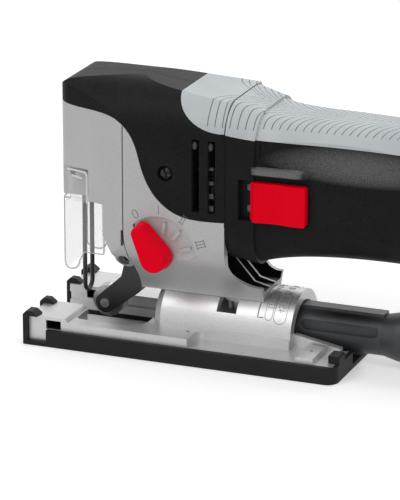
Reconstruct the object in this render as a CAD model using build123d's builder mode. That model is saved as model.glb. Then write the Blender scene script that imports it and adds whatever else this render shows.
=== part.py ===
from build123d import *
from math import asin, cos, pi, radians, sin
import os

# A barrel-grip jigsaw. X runs from the blade end (minus) to the cord end (plus), the side with
# the slide switch faces minus Y, Z is up, and the shoe stands on Z = 0. Millimetres.

# Clearances
run_gap = 0.3  # between bodies that move past each other
seat_gap = 0.1  # between pieces of one body
seam = 0.25  # open parting line between two covers
play = 0.05  # radial running fit of a shaft or pin
drive_room = 1.0  # air around the drive's moving pieces
end_room = 0.5  # behind a shaft's end
past = 1.0  # how far a cut runs beyond the face it opens
far_past = 6.0  # the same where the face is rounded

# Overall frame
overall_length = 278.0
shoe_front = -overall_length / 2
hook_wall = 2.4
front = shoe_front + hook_wall + seat_gap  # front edge of the base plate

# Shoe under the base plate
shoe_width = 80.0
shoe_wall = 2.2
shoe_floor = 2.4
shoe_height = 8.6
shoe_corner = 6.0
hook_top = 17.8
hook_reach = 5.4
hook_slope = 2.0
outer_hook = (33.5, shoe_width / 2)
inner_hook = (14.8, 19.0)
bare_length = 10.0  # the prong ends show beside the hooks
rear_hook = (25.0, 33.5)
rear_hook_top = 12.8
rear_hook_reach = 3.5
rear_hook_slope = 1.0
shoe_slot_stop = 4.0

# Base plate
base_length = 161.0
base_rear = front + base_length
base_width = shoe_width - 2 * (shoe_wall + seat_gap)
block_length = 19.6
block_top = 15.0
deck_top = 13.2
deck_length = 85.0
pan_corner = 7.0
recess_floor = 8.8
blade_slot = 27.0
slot_groove = (6.8, 11.0)  # height span of the groove in the slot's walls
slot_groove_depth = 1.4
groove_stop = 6.0
fence_slot_x = 9.3
fence_slot_length = 8.0
fence_slot_z = (8.7, 13.4)
boss_x = 142.0
boss_length = 9.0
boss_inner = 19.0
boss_height = 2.9
boss_hole_y = 8.0
rail_width = 3.5
rail_drop = 4.5
rail_rise = 2.0
rail_length = 25.0
deck_hole_radius = 0.9
deck_hole_depth = 3.0
deck_hole_x = 81.4
deck_hole_y = 27.0

# Bevel dome of the base, about the tilt axis
tilt_z = 12.0
dome_radius = 20.0
dome_bore = 15.5
dome_at = 59.0
dome_x = front + dome_at
dome_length = 74.0
dome_end = dome_x + dome_length
dome_chamfer = 4.5
ledge_half = 22.5
collar_length = 15.0
collar_radius = 20.8
tilt_slot_at = 98.0
tilt_slot_x = front + tilt_slot_at
tilt_slot_width = 10.4
tilt_slot_angle = 60.0

# Base clamp
clamp_screw_radius = 3.0
clamp_head_radius = 5.0
clamp_head_height = 4.5
clamp_socket_radius = 2.75
clamp_socket_depth = 2.7
clamp_proud = 4.0
saddle_length = 16.0
saddle_thickness = 2.8
saddle_angle = 24.0

# Dust tube
tube_z = 15.0
tube_radius = 10.5
tube_bore = 8.0
tube_at = 110.0
tube_x = front + tube_at
tube_length = 106.0
tube_end = tube_x + tube_length
tube_ring_length = 6.0
socket_radius = 12.4
socket_bore = 10.5
socket_length = 32.0
socket_taper = 8.0
tube_rail_half = 3.6
tube_rail_height = 1.1
scoop_length = 40.0
scoop_height = 6.4
scoop_depth = 2.0
scoop_start = 2.0
scoop_lift = 1.0

# Head: nose, gear housing and motor cover share one outer form
nose_at = 9.4
nose_x = front + nose_at
nose_half = 18.6
nose_corner = 8.0
head_half = 29.5
shoulder_at = 47.7
shoulder_x = front + shoulder_at
shoulder_blend = 30.0
head_end_at = 101.5
head_end = front + head_end_at
head_top = 137.0
head_end_drop = 5.5
head_corner = 24.0
crown_drop = 10.0
crown_sag = 2.2
flank_z = 58.5
flank_mid = (18.2, 38.5)  # half-width and height where the flank runs into the foot
seam_bend_z = 60.0
seam_lower = (1.2, 52.0)  # step behind the shoulder, and height
slit_width = 1.2
slit_depth = 4.0
slit_z = (54.5, 62.5)
foot_half = 12.2
foot_z = 28.8
foot_wall = 1.6
foot_bays = 3
bay_depth = 16.0
bay_floor = 3.0
foot_end_at = 116.0
foot_end = front + foot_end_at
foot_front_at = 50.6
foot_front = front + foot_front_at
flange_top = 36.4
throat_blend = 13.5
cover_gap = 0.25
# Lower edge of the black cover: distances behind the base's front edge, and heights
cover_edge = (
    (36.0, 121.0),
    (46.6, 117.8),
    (53.0, 110.6),
    (57.9, 96.0),
    (64.9, 82.6),
    (76.5, 74.3),
    (90.0, 72.4),
)
cover_edge_front = 127.0
cover_edge_rear = 72.6
nose_bottom = 73.6
guard_notch_at = 35.4
guard_notch_x = front + guard_notch_at
guard_notch_z = 57.5

# Motor line and drive
motor_z = 89.0
gear_ratio_teeth = (10, 38)
gear_module = 5.0 / 6.0
tooth_tip = 0.8  # shares of the module
tooth_root = 1.15
tip_share = 0.13  # half-widths as shares of the pitch
root_share = 0.33
gear_distance = gear_module * sum(gear_ratio_teeth) / 2
gear_z = motor_z + gear_distance
stroke = 20.0
gear_at = 29.2
gear_x = front + gear_at
gear_width = 8.0
gear_shaft_radius = 4.0
gear_shaft_end_at = 56.0
gear_shaft_end = front + gear_shaft_end_at
crank_radius = 3.0
yoke_at = 22.5
yoke_x = front + yoke_at
yoke_thickness = 5.0
yoke_half = 16.0
yoke_height = 14.0
plunger_at = 12.6
plunger_x = front + plunger_at
plunger_thickness = 5.0
plunger_bottom = 78.0
plunger_top = 127.0
clamp_height = 8.0
clamp_thickness = 5.6
clamp_slot = 1.6
clamp_roof = 1.0
blade_shank = 7.2
guide_half = 6.4
guide_wall = 1.6
lower_guide_z = (81.0, 90.5)
upper_guide_z = (106.0, 116.0)
shaft_radius = 4.0
front_bearing_at = 57.0
front_bearing_x = front + front_bearing_at
bearing_width = 9.0
front_bearing_radius = 13.0
fan_at = 84.0
fan_x = front + fan_at
fan_width = 12.0
fan_radius = 23.0
fan_blades = 9
fan_hub_radius = 9.0
fan_disc = 2.0
fan_blade_thickness = 1.6
fan_step = 1.0
fan_root = 1.0
fan_bay_radius = 24.5
fan_bay_at = 80.0
fan_bay_x = front + fan_bay_at
stator_at = 105.0
stator_x = front + stator_at
stator_length = 45.0
stator_radius = 22.5
air_gap = 0.6
armature_radius = 14.0
armature_step = 1.0
commutator_at = 154.0
commutator_x = front + commutator_at
commutator_length = 12.0
commutator_radius = 10.0
brush_size = (8.0, 6.0)
brush_gap = 0.3
brush_bay_radius = 19.0
rear_bearing_at = 170.0
rear_bearing_x = front + rear_bearing_at
rear_bearing_radius = 11.0

# Orbital action
knob_at = 67.0
knob_x = front + knob_at
knob_z = 52.0
knob_length = 19.0
knob_end_radius = 7.4
knob_tip_half = 4.4
knob_height = 9.0
knob_draft = 0.9
knob_edge = 0.8
knob_angle = 122.0
selector_radius = 4.0
dial_radius = 20.0
dial_depth = 1.4
dial_from = 4.0
dial_to = 134.0
dial_hub_step = 1.2
dial_hub = knob_end_radius + dial_hub_step
dial_lead = 54.0  # turn from a rim end to where the dial's edge meets its hub
mark_angles = (18.0, 51.0, 80.0)
mark_length = 6.2
mark_width = 1.7
mark_reach = 14.6
pivot_at = 46.2
pivot_x = front + pivot_at
pivot_z = 45.4
pivot_pin_radius = 2.5
lug_radius = 4.4
lug_half = 19.0
lug_recess = 3.0
lug_start = 0.6  # where the lug's curve starts and stops, as shares of its radius
lug_stop = (0.94, 0.34)
roller_at = 28.6
roller_x = front + roller_at
roller_z = 15.2
roller_radius = 8.2
roller_half = 3.6
roller_pin_radius = 2.4
roller_groove = 1.3
roller_room = 1.2
pin_proud = 0.8
fork_half = 7.5
fork_arm = 3.0
fork_end_radius = 5.2
fork_eye_radius = 5.2
fork_space_half = fork_half + run_gap + 0.2
fork_space_top = 57.0
fork_space_drop = 12.0
fork_space_rows = (20.0, 53.0)
fork_space_x = (front + fork_space_rows[0], front + fork_space_rows[1])
fork_bend_at = 42.9
fork_bend_z = 27.2
fork_bend = (front + fork_bend_at, fork_bend_z)
fork_bend_radius = 6.0
tail_half = 3.5
tail_at = 58.4
tail_z = 49.5
tail_end = (front + tail_at, tail_z)
tail_radius = 3.0
selector_step = 3.5
selector_end = tail_half + selector_step

# Blade guard and wire touch guard
guard_half = 17.5
guard_wall = 1.8
guard_back_at = 32.6
guard_back = front + guard_back_at
guard_leg = 10.0
guard_slope = 2.0
guard_low = 34.6
guard_mid = 44.0
guard_front_gap = 1.3
guard_shelf = nose_bottom - guard_front_gap
guard_ear_top = 88.6
guard_ear_back_at = 26.2
guard_ear_back = front + guard_ear_back_at
guard_corner = 5.0
guard_lobe = 4.6
guard_round = 1.8
guard_pin_at = 15.2
guard_pin_x = front + guard_pin_at
guard_pin_z = 85.0
guard_pin_radius = 1.4
guard_pin_length = 3.0
guard_pin_root = 0.4
ear_room = 0.7
wire_at = 16.5
wire_x = front + wire_at
wire_half = 4.6
wire_radius = 1.15
wire_bottom = 18.0
wire_top = 88.0
guard_swing_room = 1.2

# Motor cover details
vent_rows = (84.4, 92.8)
vent_x = (front + vent_rows[0], front + vent_rows[1])
vent_width = 3.9
vent_z = (76.4, 113.4)
vent_inner = 12.0
cover_screw_at = 70.3
cover_screw_x = front + cover_screw_at
cover_screw_z = 94.4
screw_well = 4.1
screw_well_depth = 2.6
screw_head_radius = 3.3
screw_head_height = 2.2
screw_radius = 1.8
screw_length = 14.0

# Handle: a short collar, then a slimmer grip. One section per row is its place as a share of the
# length, its bottom, its top as a drop below the head, its half-width and its corner rounding
handle_x = head_end + seam
handle_rear = shoe_front + overall_length
inlet_lip = 3.0
inlet_flange = 2.0
handle_length = handle_rear - inlet_lip - handle_x
collar_width = 15.0
collar_sections = (
    (0.0, 51.5, head_end_drop, head_half, 0.55),
    (collar_width / handle_length, 49.2, 9.4, 29.4, 0.58),
)
grip_sections = (
    (0.95 * collar_width / handle_length, 50.0, 10.4, 28.3, 0.62),
    (0.26, 55.0, 12.4, 27.2, 0.72),
    (0.45, 55.8, 12.6, 26.8, 0.8),
    (0.70, 54.6, 14.4, 27.0, 0.84),
    (0.915, 57.6, 19.0, 25.0, 0.86),
    (1.0, 65.0, 27.0, 18.0, 0.86),
)
hollow_radius = 30.0
hollow_y = 52.4
hollow_z = 115.0
hollow_span = (0.1, 0.72)  # shares of the handle's length
hollow_fade = 4.0
grip_depth = 2.4
front_grip_at = 74.0
front_grip_x = front + front_grip_at
# Lower edge of the soft grip: drops below the head's top, over the head and over the handle
head_grip_edge = ((0.0, -1.0), (5.0, 11.0), (14.0, 17.4), (head_end - front_grip_x + seam, 19.3))
handle_grip_edge = ((-0.02, 19.2), (0.1, 21.3), (0.26, 21.8), (0.45, 22.0), (0.75, 23.0), (1.1, 27.0))

# Slide switch
slider_at = 114.8
slider_x = front + slider_at
slider_length = 29.0
slider_z = 85.5
slider_height = 20.0
slider_corner = 1.6
slider_rest = 0.6  # how far the rear of the thumb face lies below its front
slider_floor_y = 25.9
slider_proud = 5.6
slider_travel = 6.0
slider_dish_depth = 1.5
slider_slope = 3.0
slider_dish = (0.4, 0.7)  # where the dish is deepest and where it ends, as shares of the length
link_thickness = 1.4
link_height = 6.0
link_y = 23.0
stem_offset = 8.0
stem_length = 8.0
switch_at = 190.0
switch_x = front + switch_at
switch_size = (30.0, 22.0, 26.0)
link_foot = 4.0
link_foot_y = 2.0
link_foot_x = switch_x - link_foot - run_gap
finger_rib_at = 112.5
finger_rib_x = front + finger_rib_at
finger_rib_length = 37.0
finger_rib_z = 99.2
finger_rib_height = 3.0
finger_rib_proud = 2.0
finger_rib_lead = 4.0
finger_rib_root = 6.0
cord_hole = 4.5
inlet_radius = 7.0
inlet_depth = 8.0
inlet_z = 88.0
handle_screw_rows = ((110.0, 58.0), (165.0, 64.0), (240.0, 66.0))
handle_screw_spots = [(front + x, z) for x, z in handle_screw_rows]
handle_screw_y = 16.0
handle_screw_length = 22.0


def block(x, y, z, mode=Mode.ADD):
    """A box between the two ends given for each axis."""
    with Locations(((x[0] + x[1]) / 2, (y[0] + y[1]) / 2, (z[0] + z[1]) / 2)):
        Box(x[1] - x[0], y[1] - y[0], z[1] - z[0], mode=mode)


def rod_x(radius, x, z, y=0.0, mode=Mode.ADD):
    """A cylinder along X between the two ends x."""
    with Locations(((x[0] + x[1]) / 2, y, z)):
        Cylinder(radius, x[1] - x[0], rotation=(0, 90, 0), mode=mode)


def rod_y(radius, x, y, z, mode=Mode.ADD):
    """A cylinder along Y between the two ends y."""
    with Locations((x, (y[0] + y[1]) / 2, z)):
        Cylinder(radius, y[1] - y[0], rotation=(90, 0, 0), mode=mode)


def both_sides(span):
    """The two Y spans of a feature that stands on both sides of the middle plane."""
    return ((-span[1], -span[0]), span)


def side_face(points):
    """A face on the side plane, from straight points (x, z)."""
    with BuildSketch(Plane.XZ, mode=Mode.PRIVATE) as outline:
        with BuildLine():
            Polyline(*points, close=True)
        make_face()
    return outline.sketch


def finish(builder, name):
    """Names a piece and writes its file."""
    builder.part.label = name
    export_step(builder.part, f"parts/{name}.step")


def head_form(inset):
    """The common outer form of the head: plan, cross-section and side outline intersected."""
    with BuildPart() as form:
        with BuildSketch():
            with BuildLine():
                Polyline(
                    (nose_x + inset, -nose_half + inset),
                    (shoulder_x, -head_half + inset),
                    (foot_end, -head_half + inset),
                    (foot_end, head_half - inset),
                    (shoulder_x, head_half - inset),
                    (nose_x + inset, nose_half - inset),
                    close=True,
                )
            plan = make_face()
            fillet(plan.vertices().group_by(Axis.X)[0], nose_corner)
            shoulders = plan.vertices().filter_by_position(Axis.X, shoulder_x - 1, shoulder_x + 1)
            fillet(shoulders, shoulder_blend)
        extrude(amount=head_top)
        with BuildSketch(Plane.YZ.offset(nose_x)):
            with BuildLine():
                half = head_half - inset
                top = head_top - inset
                Line((0, 0), (foot_half, 0))
                Line((foot_half, 0), (foot_half, foot_z))
                flank = Spline((foot_half, foot_z), flank_mid, (half, flank_z), tangents=((0.3, 1), (0, 1)))
                Line(flank @ 1, (half, top - head_corner))
                JernArc((half, top - head_corner), (0, 1), head_corner, 90)
                Line((half - head_corner, top), (0, top))
                mirror(about=Plane.YZ)
            make_face()
        extrude(amount=foot_end - nose_x, mode=Mode.INTERSECT)
        with BuildSketch(Plane.XZ):
            with BuildLine():
                crown = Spline(
                    (nose_x + inset, head_top - crown_drop),
                    (nose_x + crown_drop, head_top - crown_sag - inset),
                    (shoulder_x, head_top - inset),
                    (head_end, head_top - head_end_drop - inset),
                    tangents=((0, 1), (1, -0.08)),
                )
                rear = Polyline(
                    crown @ 1,
                    (head_end, flange_top),
                    (foot_end, flange_top),
                    (foot_end, tilt_z),
                    (foot_front, tilt_z),
                    (foot_front, pivot_z - lug_radius * lug_start),
                )
                lug = ThreePointArc(
                    rear @ 1,
                    (pivot_x, pivot_z - lug_radius),
                    (pivot_x - lug_radius * lug_stop[0], pivot_z + lug_radius * lug_stop[1]),
                )
                Polyline(
                    lug @ 1,
                    (guard_notch_x, guard_notch_z),
                    (guard_notch_x, nose_bottom),
                    (nose_x + inset, nose_bottom),
                    crown @ 0,
                )
            outline = make_face()
            throat = outline.vertices().sort_by_distance((head_end, flange_top, 0))[0]
            fillet(throat, throat_blend)
        extrude(amount=head_half, both=True, mode=Mode.INTERSECT)
        rod_x(dome_radius + run_gap, (nose_x, foot_end), tilt_z, mode=Mode.SUBTRACT)
    return form.part


def cover_face(grow):
    """Side view of the black motor cover, grown by the parting gap where grow is not zero."""
    with BuildSketch(Plane.XZ, mode=Mode.PRIVATE) as outline:
        with BuildLine():
            points = [(nose_x - far_past, cover_edge_front - grow)]
            points += [(front + x - grow, z - grow) for x, z in cover_edge]
            points += [(foot_end, cover_edge_rear - grow)]
            edge = Spline(*points)
            Polyline(edge @ 1, (foot_end, 2 * head_top), (nose_x - far_past, 2 * head_top), edge @ 0)
        make_face()
    return outline.sketch


def nose_face(grow):
    """Side view of the nose cover, grown by the parting gap where grow is not zero."""
    with BuildSketch(Plane.XZ, mode=Mode.PRIVATE) as outline:
        with BuildLine():
            split = shoulder_x + grow
            edge = Spline(
                (split, seam_bend_z),
                (split + seam_lower[0], seam_lower[1]),
                (foot_front + grow, pivot_z - lug_radius * lug_start),
                tangents=((0, -1), (0.3, -1)),
            )
            Polyline(
                edge @ 1,
                (foot_front + grow - seam, pivot_z - lug_radius - past),
                (nose_x - far_past, pivot_z - lug_radius - past),
                (nose_x - far_past, head_top),
                (split, head_top),
                edge @ 0,
            )
        make_face()
    return outline.sketch


def cut_drive_space():
    """Room for the plunger, yoke, gears, shaft and front bearing."""
    yoke_room = (stroke + yoke_height) / 2 + drive_room
    block(
        (plunger_x - guide_wall, yoke_x + guide_wall),
        (-guide_half - seat_gap, guide_half + seat_gap),
        (nose_bottom - past, plunger_top + drive_room),
        mode=Mode.SUBTRACT,
    )
    block(
        (yoke_x - run_gap, gear_x),
        (-yoke_half - drive_room, yoke_half + drive_room),
        (gear_z - yoke_room, gear_z + yoke_room),
        mode=Mode.SUBTRACT,
    )
    gear_room = gear_module * (gear_ratio_teeth[1] / 2 + 1) + 2 * drive_room
    rod_x(gear_room, (yoke_x, gear_x + gear_width + drive_room), gear_z, mode=Mode.SUBTRACT)
    rod_x(gear_shaft_radius + play, (gear_x, gear_shaft_end + end_room), gear_z, mode=Mode.SUBTRACT)
    rod_x(shaft_radius + 3 * drive_room, (gear_x - drive_room, front_bearing_x), motor_z, mode=Mode.SUBTRACT)
    bearing_span = (front_bearing_x, front_bearing_x + bearing_width)
    rod_x(front_bearing_radius + seat_gap, bearing_span, motor_z, mode=Mode.SUBTRACT)
    rod_x(shaft_radius + 2 * drive_room, (front_bearing_x, fan_bay_x + past), motor_z, mode=Mode.SUBTRACT)
    rod_x(fan_bay_radius, (fan_bay_x, head_end + past), motor_z, mode=Mode.SUBTRACT)


def cut_fork_space():
    """Room for the roller fork, its tail and the selector shaft."""
    block(
        fork_space_x,
        (-fork_space_half, fork_space_half),
        (pivot_z - fork_space_drop, fork_space_top),
        mode=Mode.SUBTRACT,
    )
    block(
        (pivot_x, knob_x + selector_radius + 2 * drive_room),
        (-tail_half - drive_room, tail_half + drive_room),
        (pivot_z - fork_eye_radius, fork_space_top),
        mode=Mode.SUBTRACT,
    )
    rod_y(pivot_pin_radius, pivot_x, (-lug_half, lug_half), pivot_z, mode=Mode.SUBTRACT)
    for low, high in both_sides((lug_half, head_half + past)):
        rod_y(lug_recess, pivot_x, (low, high), pivot_z, mode=Mode.SUBTRACT)
    selector_hole = (-head_half - past, selector_end + end_room)
    rod_y(selector_radius + play, knob_x, selector_hole, knob_z, mode=Mode.SUBTRACT)


def cut_switch_space():
    """The slider's pocket in the left half, with the slot and channel for its stem and link."""
    slot_half = link_height / 2 + run_gap
    block(
        (slider_x - slider_travel - run_gap, slider_x + slider_length + run_gap),
        (-head_half - past, -slider_floor_y),
        (slider_z - slider_height / 2 - run_gap, slider_z + slider_height / 2 + run_gap),
        mode=Mode.SUBTRACT,
    )
    stem_x = slider_x + stem_offset
    link_span = (-link_y - link_thickness - run_gap, -link_y + run_gap)
    slot_z = (slider_z - slot_half, slider_z + slot_half)
    block(
        (stem_x - slider_travel - run_gap, stem_x + stem_length + run_gap),
        (-slider_floor_y, link_span[0]),
        slot_z,
        mode=Mode.SUBTRACT,
    )
    block((stem_x - slider_travel - run_gap, switch_x), link_span, slot_z, mode=Mode.SUBTRACT)
    foot_x = (link_foot_x - slider_travel - run_gap, switch_x)
    block(foot_x, (link_span[0], -link_foot_y), slot_z, mode=Mode.SUBTRACT)


def hull_y(first, first_radius, second, second_radius, span):
    """A link plate with two round ends (x, z), between the two ends of the Y span."""
    with BuildSketch(Plane.XZ.offset(-span[1])) as plate:
        with Locations(first):
            Circle(first_radius)
        with Locations(second):
            Circle(second_radius)
        make_hull()
    extrude(plate.sketch, amount=span[1] - span[0])


def gear_points(teeth, phase, axis_z):
    """Corner points (y, z) of a spur gear with plain straight-sided teeth, one tooth at phase degrees."""
    pitch = gear_module * teeth / 2
    tip = pitch + gear_module * tooth_tip
    root = pitch - gear_module * tooth_root
    points = []
    for tooth in range(teeth):
        middle = radians(phase) + 2 * pi * tooth / teeth
        for radius, share in ((root, -root_share), (tip, -tip_share), (tip, tip_share), (root, root_share)):
            angle = middle + share * 2 * pi / teeth
            points.append((radius * cos(angle), axis_z + radius * sin(angle)))
    return points


def handle_form(inset):
    """The handle's outer form: the collar and the grip, each lofted through its sections."""
    with BuildPart() as form:
        for sections in (collar_sections, grip_sections):
            for share, bottom, drop, half, rounding in sections:
                top = head_top - drop
                with BuildSketch(Plane.YZ.offset(handle_x + share * handle_length)):
                    with Locations((0, (bottom + top) / 2)):
                        width = 2 * (half - inset)
                        height = top - bottom - 2 * inset
                        RectangleRounded(width, height, min(width, height) / 2 * rounding)
            loft()
    return form.part


def cut_hollows():
    """The long finger hollows under the soft grip, one on each side, as barrels along the handle."""
    start, end = (handle_x + share * handle_length for share in hollow_span)
    for side in (-1, 1):
        with BuildSketch(Plane.XY.offset(hollow_z)) as barrel:
            with BuildLine():
                line = side * hollow_y
                thin = line - side * (hollow_radius - hollow_fade)
                middle = ((start + end) / 2, line - side * hollow_radius)
                arc = ThreePointArc((start, thin), middle, (end, thin))
                Polyline(arc @ 1, (end, line), (start, line), arc @ 0)
            make_face()
        axis = Axis((0, side * hollow_y, hollow_z), (1, 0, 0))
        revolve(barrel.sketch, axis=axis, mode=Mode.SUBTRACT)


def grip_face(points):
    """Side view of a soft grip zone: all that lies above the edge through the given points."""
    with BuildSketch(Plane.XZ, mode=Mode.PRIVATE) as outline:
        with BuildLine():
            edge = Spline(*points)
            Polyline(edge @ 1, (points[-1][0], 2 * head_top), (points[0][0], 2 * head_top), edge @ 0)
        make_face()
    return outline.sketch


os.makedirs("parts", exist_ok=True)
head = head_form(0.0)
head_core = head_form(grip_depth)
handle = handle_form(0.0)
handle_core = handle_form(grip_depth)

# Base plate: two side plates joined by the bevel dome
with BuildPart() as base_plate:
    profile = side_face(
        (
            (front, shoe_floor),
            (front, block_top),
            (front + block_length, block_top),
            (front + block_length + block_top - deck_top, deck_top),
            (dome_end, deck_top),
            (dome_end, recess_floor),
            (base_rear, recess_floor),
            (base_rear, shoe_floor),
        )
    )
    extrude(profile, amount=base_width / 2, both=True)
    for side in (-1, 1):
        with BuildSketch(Plane.XY.offset(recess_floor)):
            inner = side * ledge_half
            outer = side * shoe_width / 2
            with BuildLine():
                Polyline(
                    (front + deck_length, outer),
                    (front + deck_length, inner),
                    (dome_end, inner),
                    (dome_end, outer),
                    close=True,
                )
            pan_face = make_face()
            corner = pan_face.vertices().sort_by_distance((front + deck_length, inner, recess_floor))[0]
            fillet(corner, pan_corner)
        extrude(amount=deck_top, mode=Mode.SUBTRACT)
    with BuildSketch(Plane.XZ):
        with BuildLine():
            Polyline(
                (dome_x, tilt_z),
                (dome_x, tilt_z + dome_radius - dome_chamfer),
                (dome_x + dome_chamfer, tilt_z + dome_radius),
                (dome_end - collar_length, tilt_z + dome_radius),
                (dome_end - collar_length, tilt_z + collar_radius),
                (dome_end, tilt_z + collar_radius),
                (dome_end, tilt_z),
                close=True,
            )
        make_face()
    revolve(axis=Axis((0, 0, tilt_z), (1, 0, 0)))
    for side in (-1, 1):
        inner = side * blade_slot / 2
        rail = side_face(
            (
                (dome_end, shoe_floor),
                (dome_end, recess_floor + rail_rise + rail_drop),
                (dome_end + rail_length, recess_floor + rail_rise),
                (dome_end + rail_length, shoe_floor),
            )
        )
        extrude(Pos(0, inner, 0) * rail, amount=-side * rail_width)
        boss_y = (boss_inner, base_width / 2)
        boss_span = (front + boss_x, front + boss_x + boss_length)
        if side < 0:
            boss_y = (-boss_y[1], -boss_y[0])
        block(boss_span, boss_y, (shoe_floor, recess_floor + boss_height))
    slot_span = (-blade_slot / 2, blade_slot / 2)
    groove_half = blade_slot / 2 + slot_groove_depth
    block((front - past, dome_x), slot_span, (0, head_top), mode=Mode.SUBTRACT)
    block((front - past, dome_x - groove_stop), (-groove_half, groove_half), slot_groove, mode=Mode.SUBTRACT)
    block((dome_end, base_rear + past), slot_span, (0, head_top), mode=Mode.SUBTRACT)
    block((dome_x - past, dome_end + past), slot_span, (0, tilt_z), mode=Mode.SUBTRACT)
    rod_x(dome_bore, (dome_x - past, dome_end + past), tilt_z, mode=Mode.SUBTRACT)
    whole = (shoe_front - past, base_rear + past)
    block(whole, (-shoe_width, shoe_width), (-dome_radius, shoe_floor), mode=Mode.SUBTRACT)
    fence_span = (front + fence_slot_x, front + fence_slot_x + fence_slot_length)
    block(fence_span, (-shoe_width, shoe_width), fence_slot_z, mode=Mode.SUBTRACT)
    with BuildSketch(Plane.YZ.offset(tilt_slot_x - tilt_slot_width / 2)):
        with BuildLine():
            reach = 2 * dome_radius
            swing = radians(tilt_slot_angle)
            Polyline(
                (0, tilt_z),
                (-reach * sin(swing), tilt_z + reach * cos(swing)),
                (-reach, tilt_z + reach),
                (0, tilt_z + 2 * reach),
                (reach, tilt_z + reach),
                (reach * sin(swing), tilt_z + reach * cos(swing)),
                close=True,
            )
        make_face()
    extrude(amount=tilt_slot_width, mode=Mode.SUBTRACT)
    spots = [(front + deck_hole_x, side * deck_hole_y, deck_top) for side in (-1, 1)]
    boss_middle = front + boss_x + boss_length / 2
    hole_y = boss_inner + boss_hole_y
    spots += [(boss_middle, side * hole_y, recess_floor + boss_height) for side in (-1, 1)]
    with Locations(*spots):
        Hole(deck_hole_radius, deck_hole_depth)
finish(base_plate, "base_plate")

# Anti-scratch shoe: a tray with hooks that wrap the prongs and the rear edge
with BuildPart() as base_shoe:
    shoe_rear = base_rear + seat_gap + shoe_wall
    with BuildSketch():
        with Locations(((shoe_front + shoe_rear) / 2, 0)):
            tray = Rectangle(shoe_rear - shoe_front, shoe_width)
        fillet(tray.vertices().group_by(Axis.X)[-1], shoe_corner)
    extrude(amount=shoe_height)
    pocket_half = base_width / 2 + seat_gap
    pocket = (front - seat_gap, base_rear + seat_gap)
    block(pocket, (-pocket_half, pocket_half), (shoe_floor, head_top), mode=Mode.SUBTRACT)
    bare = (shoe_front - past, front + bare_length)
    block(bare, (-shoe_width, shoe_width), (shoe_floor, head_top), mode=Mode.SUBTRACT)
    block((shoe_front - past, dome_x - shoe_slot_stop), slot_span, (-past, head_top), mode=Mode.SUBTRACT)
    block((base_rear - past, shoe_rear + past), slot_span, (shoe_floor, head_top), mode=Mode.SUBTRACT)
    front_hook = side_face(
        (
            (shoe_front, 0),
            (shoe_front, hook_top - hook_slope),
            (shoe_front + hook_slope, hook_top),
            (front + hook_reach / 2, hook_top),
            (front + hook_reach, hook_top - hook_slope),
            (front + hook_reach, block_top + seat_gap),
            (front - seat_gap, block_top + seat_gap),
            (front - seat_gap, 0),
        )
    )
    back_hook = side_face(
        (
            (shoe_rear, 0),
            (shoe_rear, rear_hook_top - rear_hook_slope),
            (shoe_rear - rear_hook_slope, rear_hook_top),
            (base_rear - rear_hook_reach, rear_hook_top),
            (base_rear - rear_hook_reach, recess_floor + seat_gap),
            (base_rear + seat_gap, recess_floor + seat_gap),
            (base_rear + seat_gap, 0),
        )
    )
    for face, span in ((front_hook, outer_hook), (front_hook, inner_hook), (back_hook, rear_hook)):
        for low, high in both_sides(span):
            extrude(Pos(0, low, 0) * face, amount=low - high)
finish(base_shoe, "base_shoe")

# Dust tube under the handle, held in the dome by its ring
with BuildPart() as dust_tube:
    socket_x = tube_end - socket_length
    with BuildSketch(Plane.XZ):
        with BuildLine():
            Polyline(
                (tube_x, tube_z),
                (tube_x, tube_z + tube_radius),
                (socket_x - socket_taper, tube_z + tube_radius),
                (socket_x, tube_z + socket_radius),
                (tube_end, tube_z + socket_radius),
                (tube_end, tube_z),
                close=True,
            )
        make_face()
    revolve(axis=Axis((0, 0, tube_z), (1, 0, 0)))
    rod_x(dome_bore - seat_gap, (tube_x, tube_x + tube_ring_length), tilt_z)
    rail_span = (tube_x, socket_x - socket_taper)
    block(rail_span, (-tube_rail_half, tube_rail_half), (tube_z, tube_z + tube_radius + tube_rail_height))
    scoop_x = dome_end + scoop_length / 2 + scoop_start
    for side in (-1, 1):
        outside = side * (tube_radius + past)
        with BuildSketch(Plane.XZ.offset(-outside)):
            with Locations((scoop_x, tube_z + scoop_height / 2 + scoop_lift)):
                SlotOverall(scoop_length, scoop_height)
        extrude(amount=side * (scoop_depth + past), mode=Mode.SUBTRACT)
    floor_span = (tube_x, tube_x + tube_ring_length)
    block(floor_span, (-shoe_width, shoe_width), (-dome_bore, shoe_floor + seat_gap), mode=Mode.SUBTRACT)
    ring_half = blade_slot / 2 - seat_gap
    for low, high in both_sides((ring_half, shoe_width)):
        block(floor_span, (low, high), (-dome_bore, tilt_z + seat_gap), mode=Mode.SUBTRACT)
    rod_x(tube_bore, (tube_x - past, tube_end), tube_z, mode=Mode.SUBTRACT)
    rod_x(socket_bore, (socket_x, tube_end), tube_z, mode=Mode.SUBTRACT)
finish(dust_tube, "dust_tube")

# Clamp saddle inside the dome and its screw
with BuildPart() as clamp_saddle:
    saddle_outer = dome_bore - run_gap
    with BuildSketch(Plane.YZ.offset(tilt_slot_x - saddle_length / 2)):
        with BuildLine():
            swing = radians(saddle_angle)
            low = saddle_outer - saddle_thickness
            left = (-saddle_outer * sin(swing), tilt_z + saddle_outer * cos(swing))
            right = (saddle_outer * sin(swing), tilt_z + saddle_outer * cos(swing))
            over = ThreePointArc(left, (0, tilt_z + saddle_outer), right)
            Polyline(over @ 1, (right[0], tilt_z + low), (left[0], tilt_z + low), over @ 0)
        make_face()
    extrude(amount=saddle_length)
    with Locations((tilt_slot_x, 0, tilt_z + saddle_outer)):
        Hole(clamp_screw_radius + seat_gap)
finish(clamp_saddle, "clamp_saddle")

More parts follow.
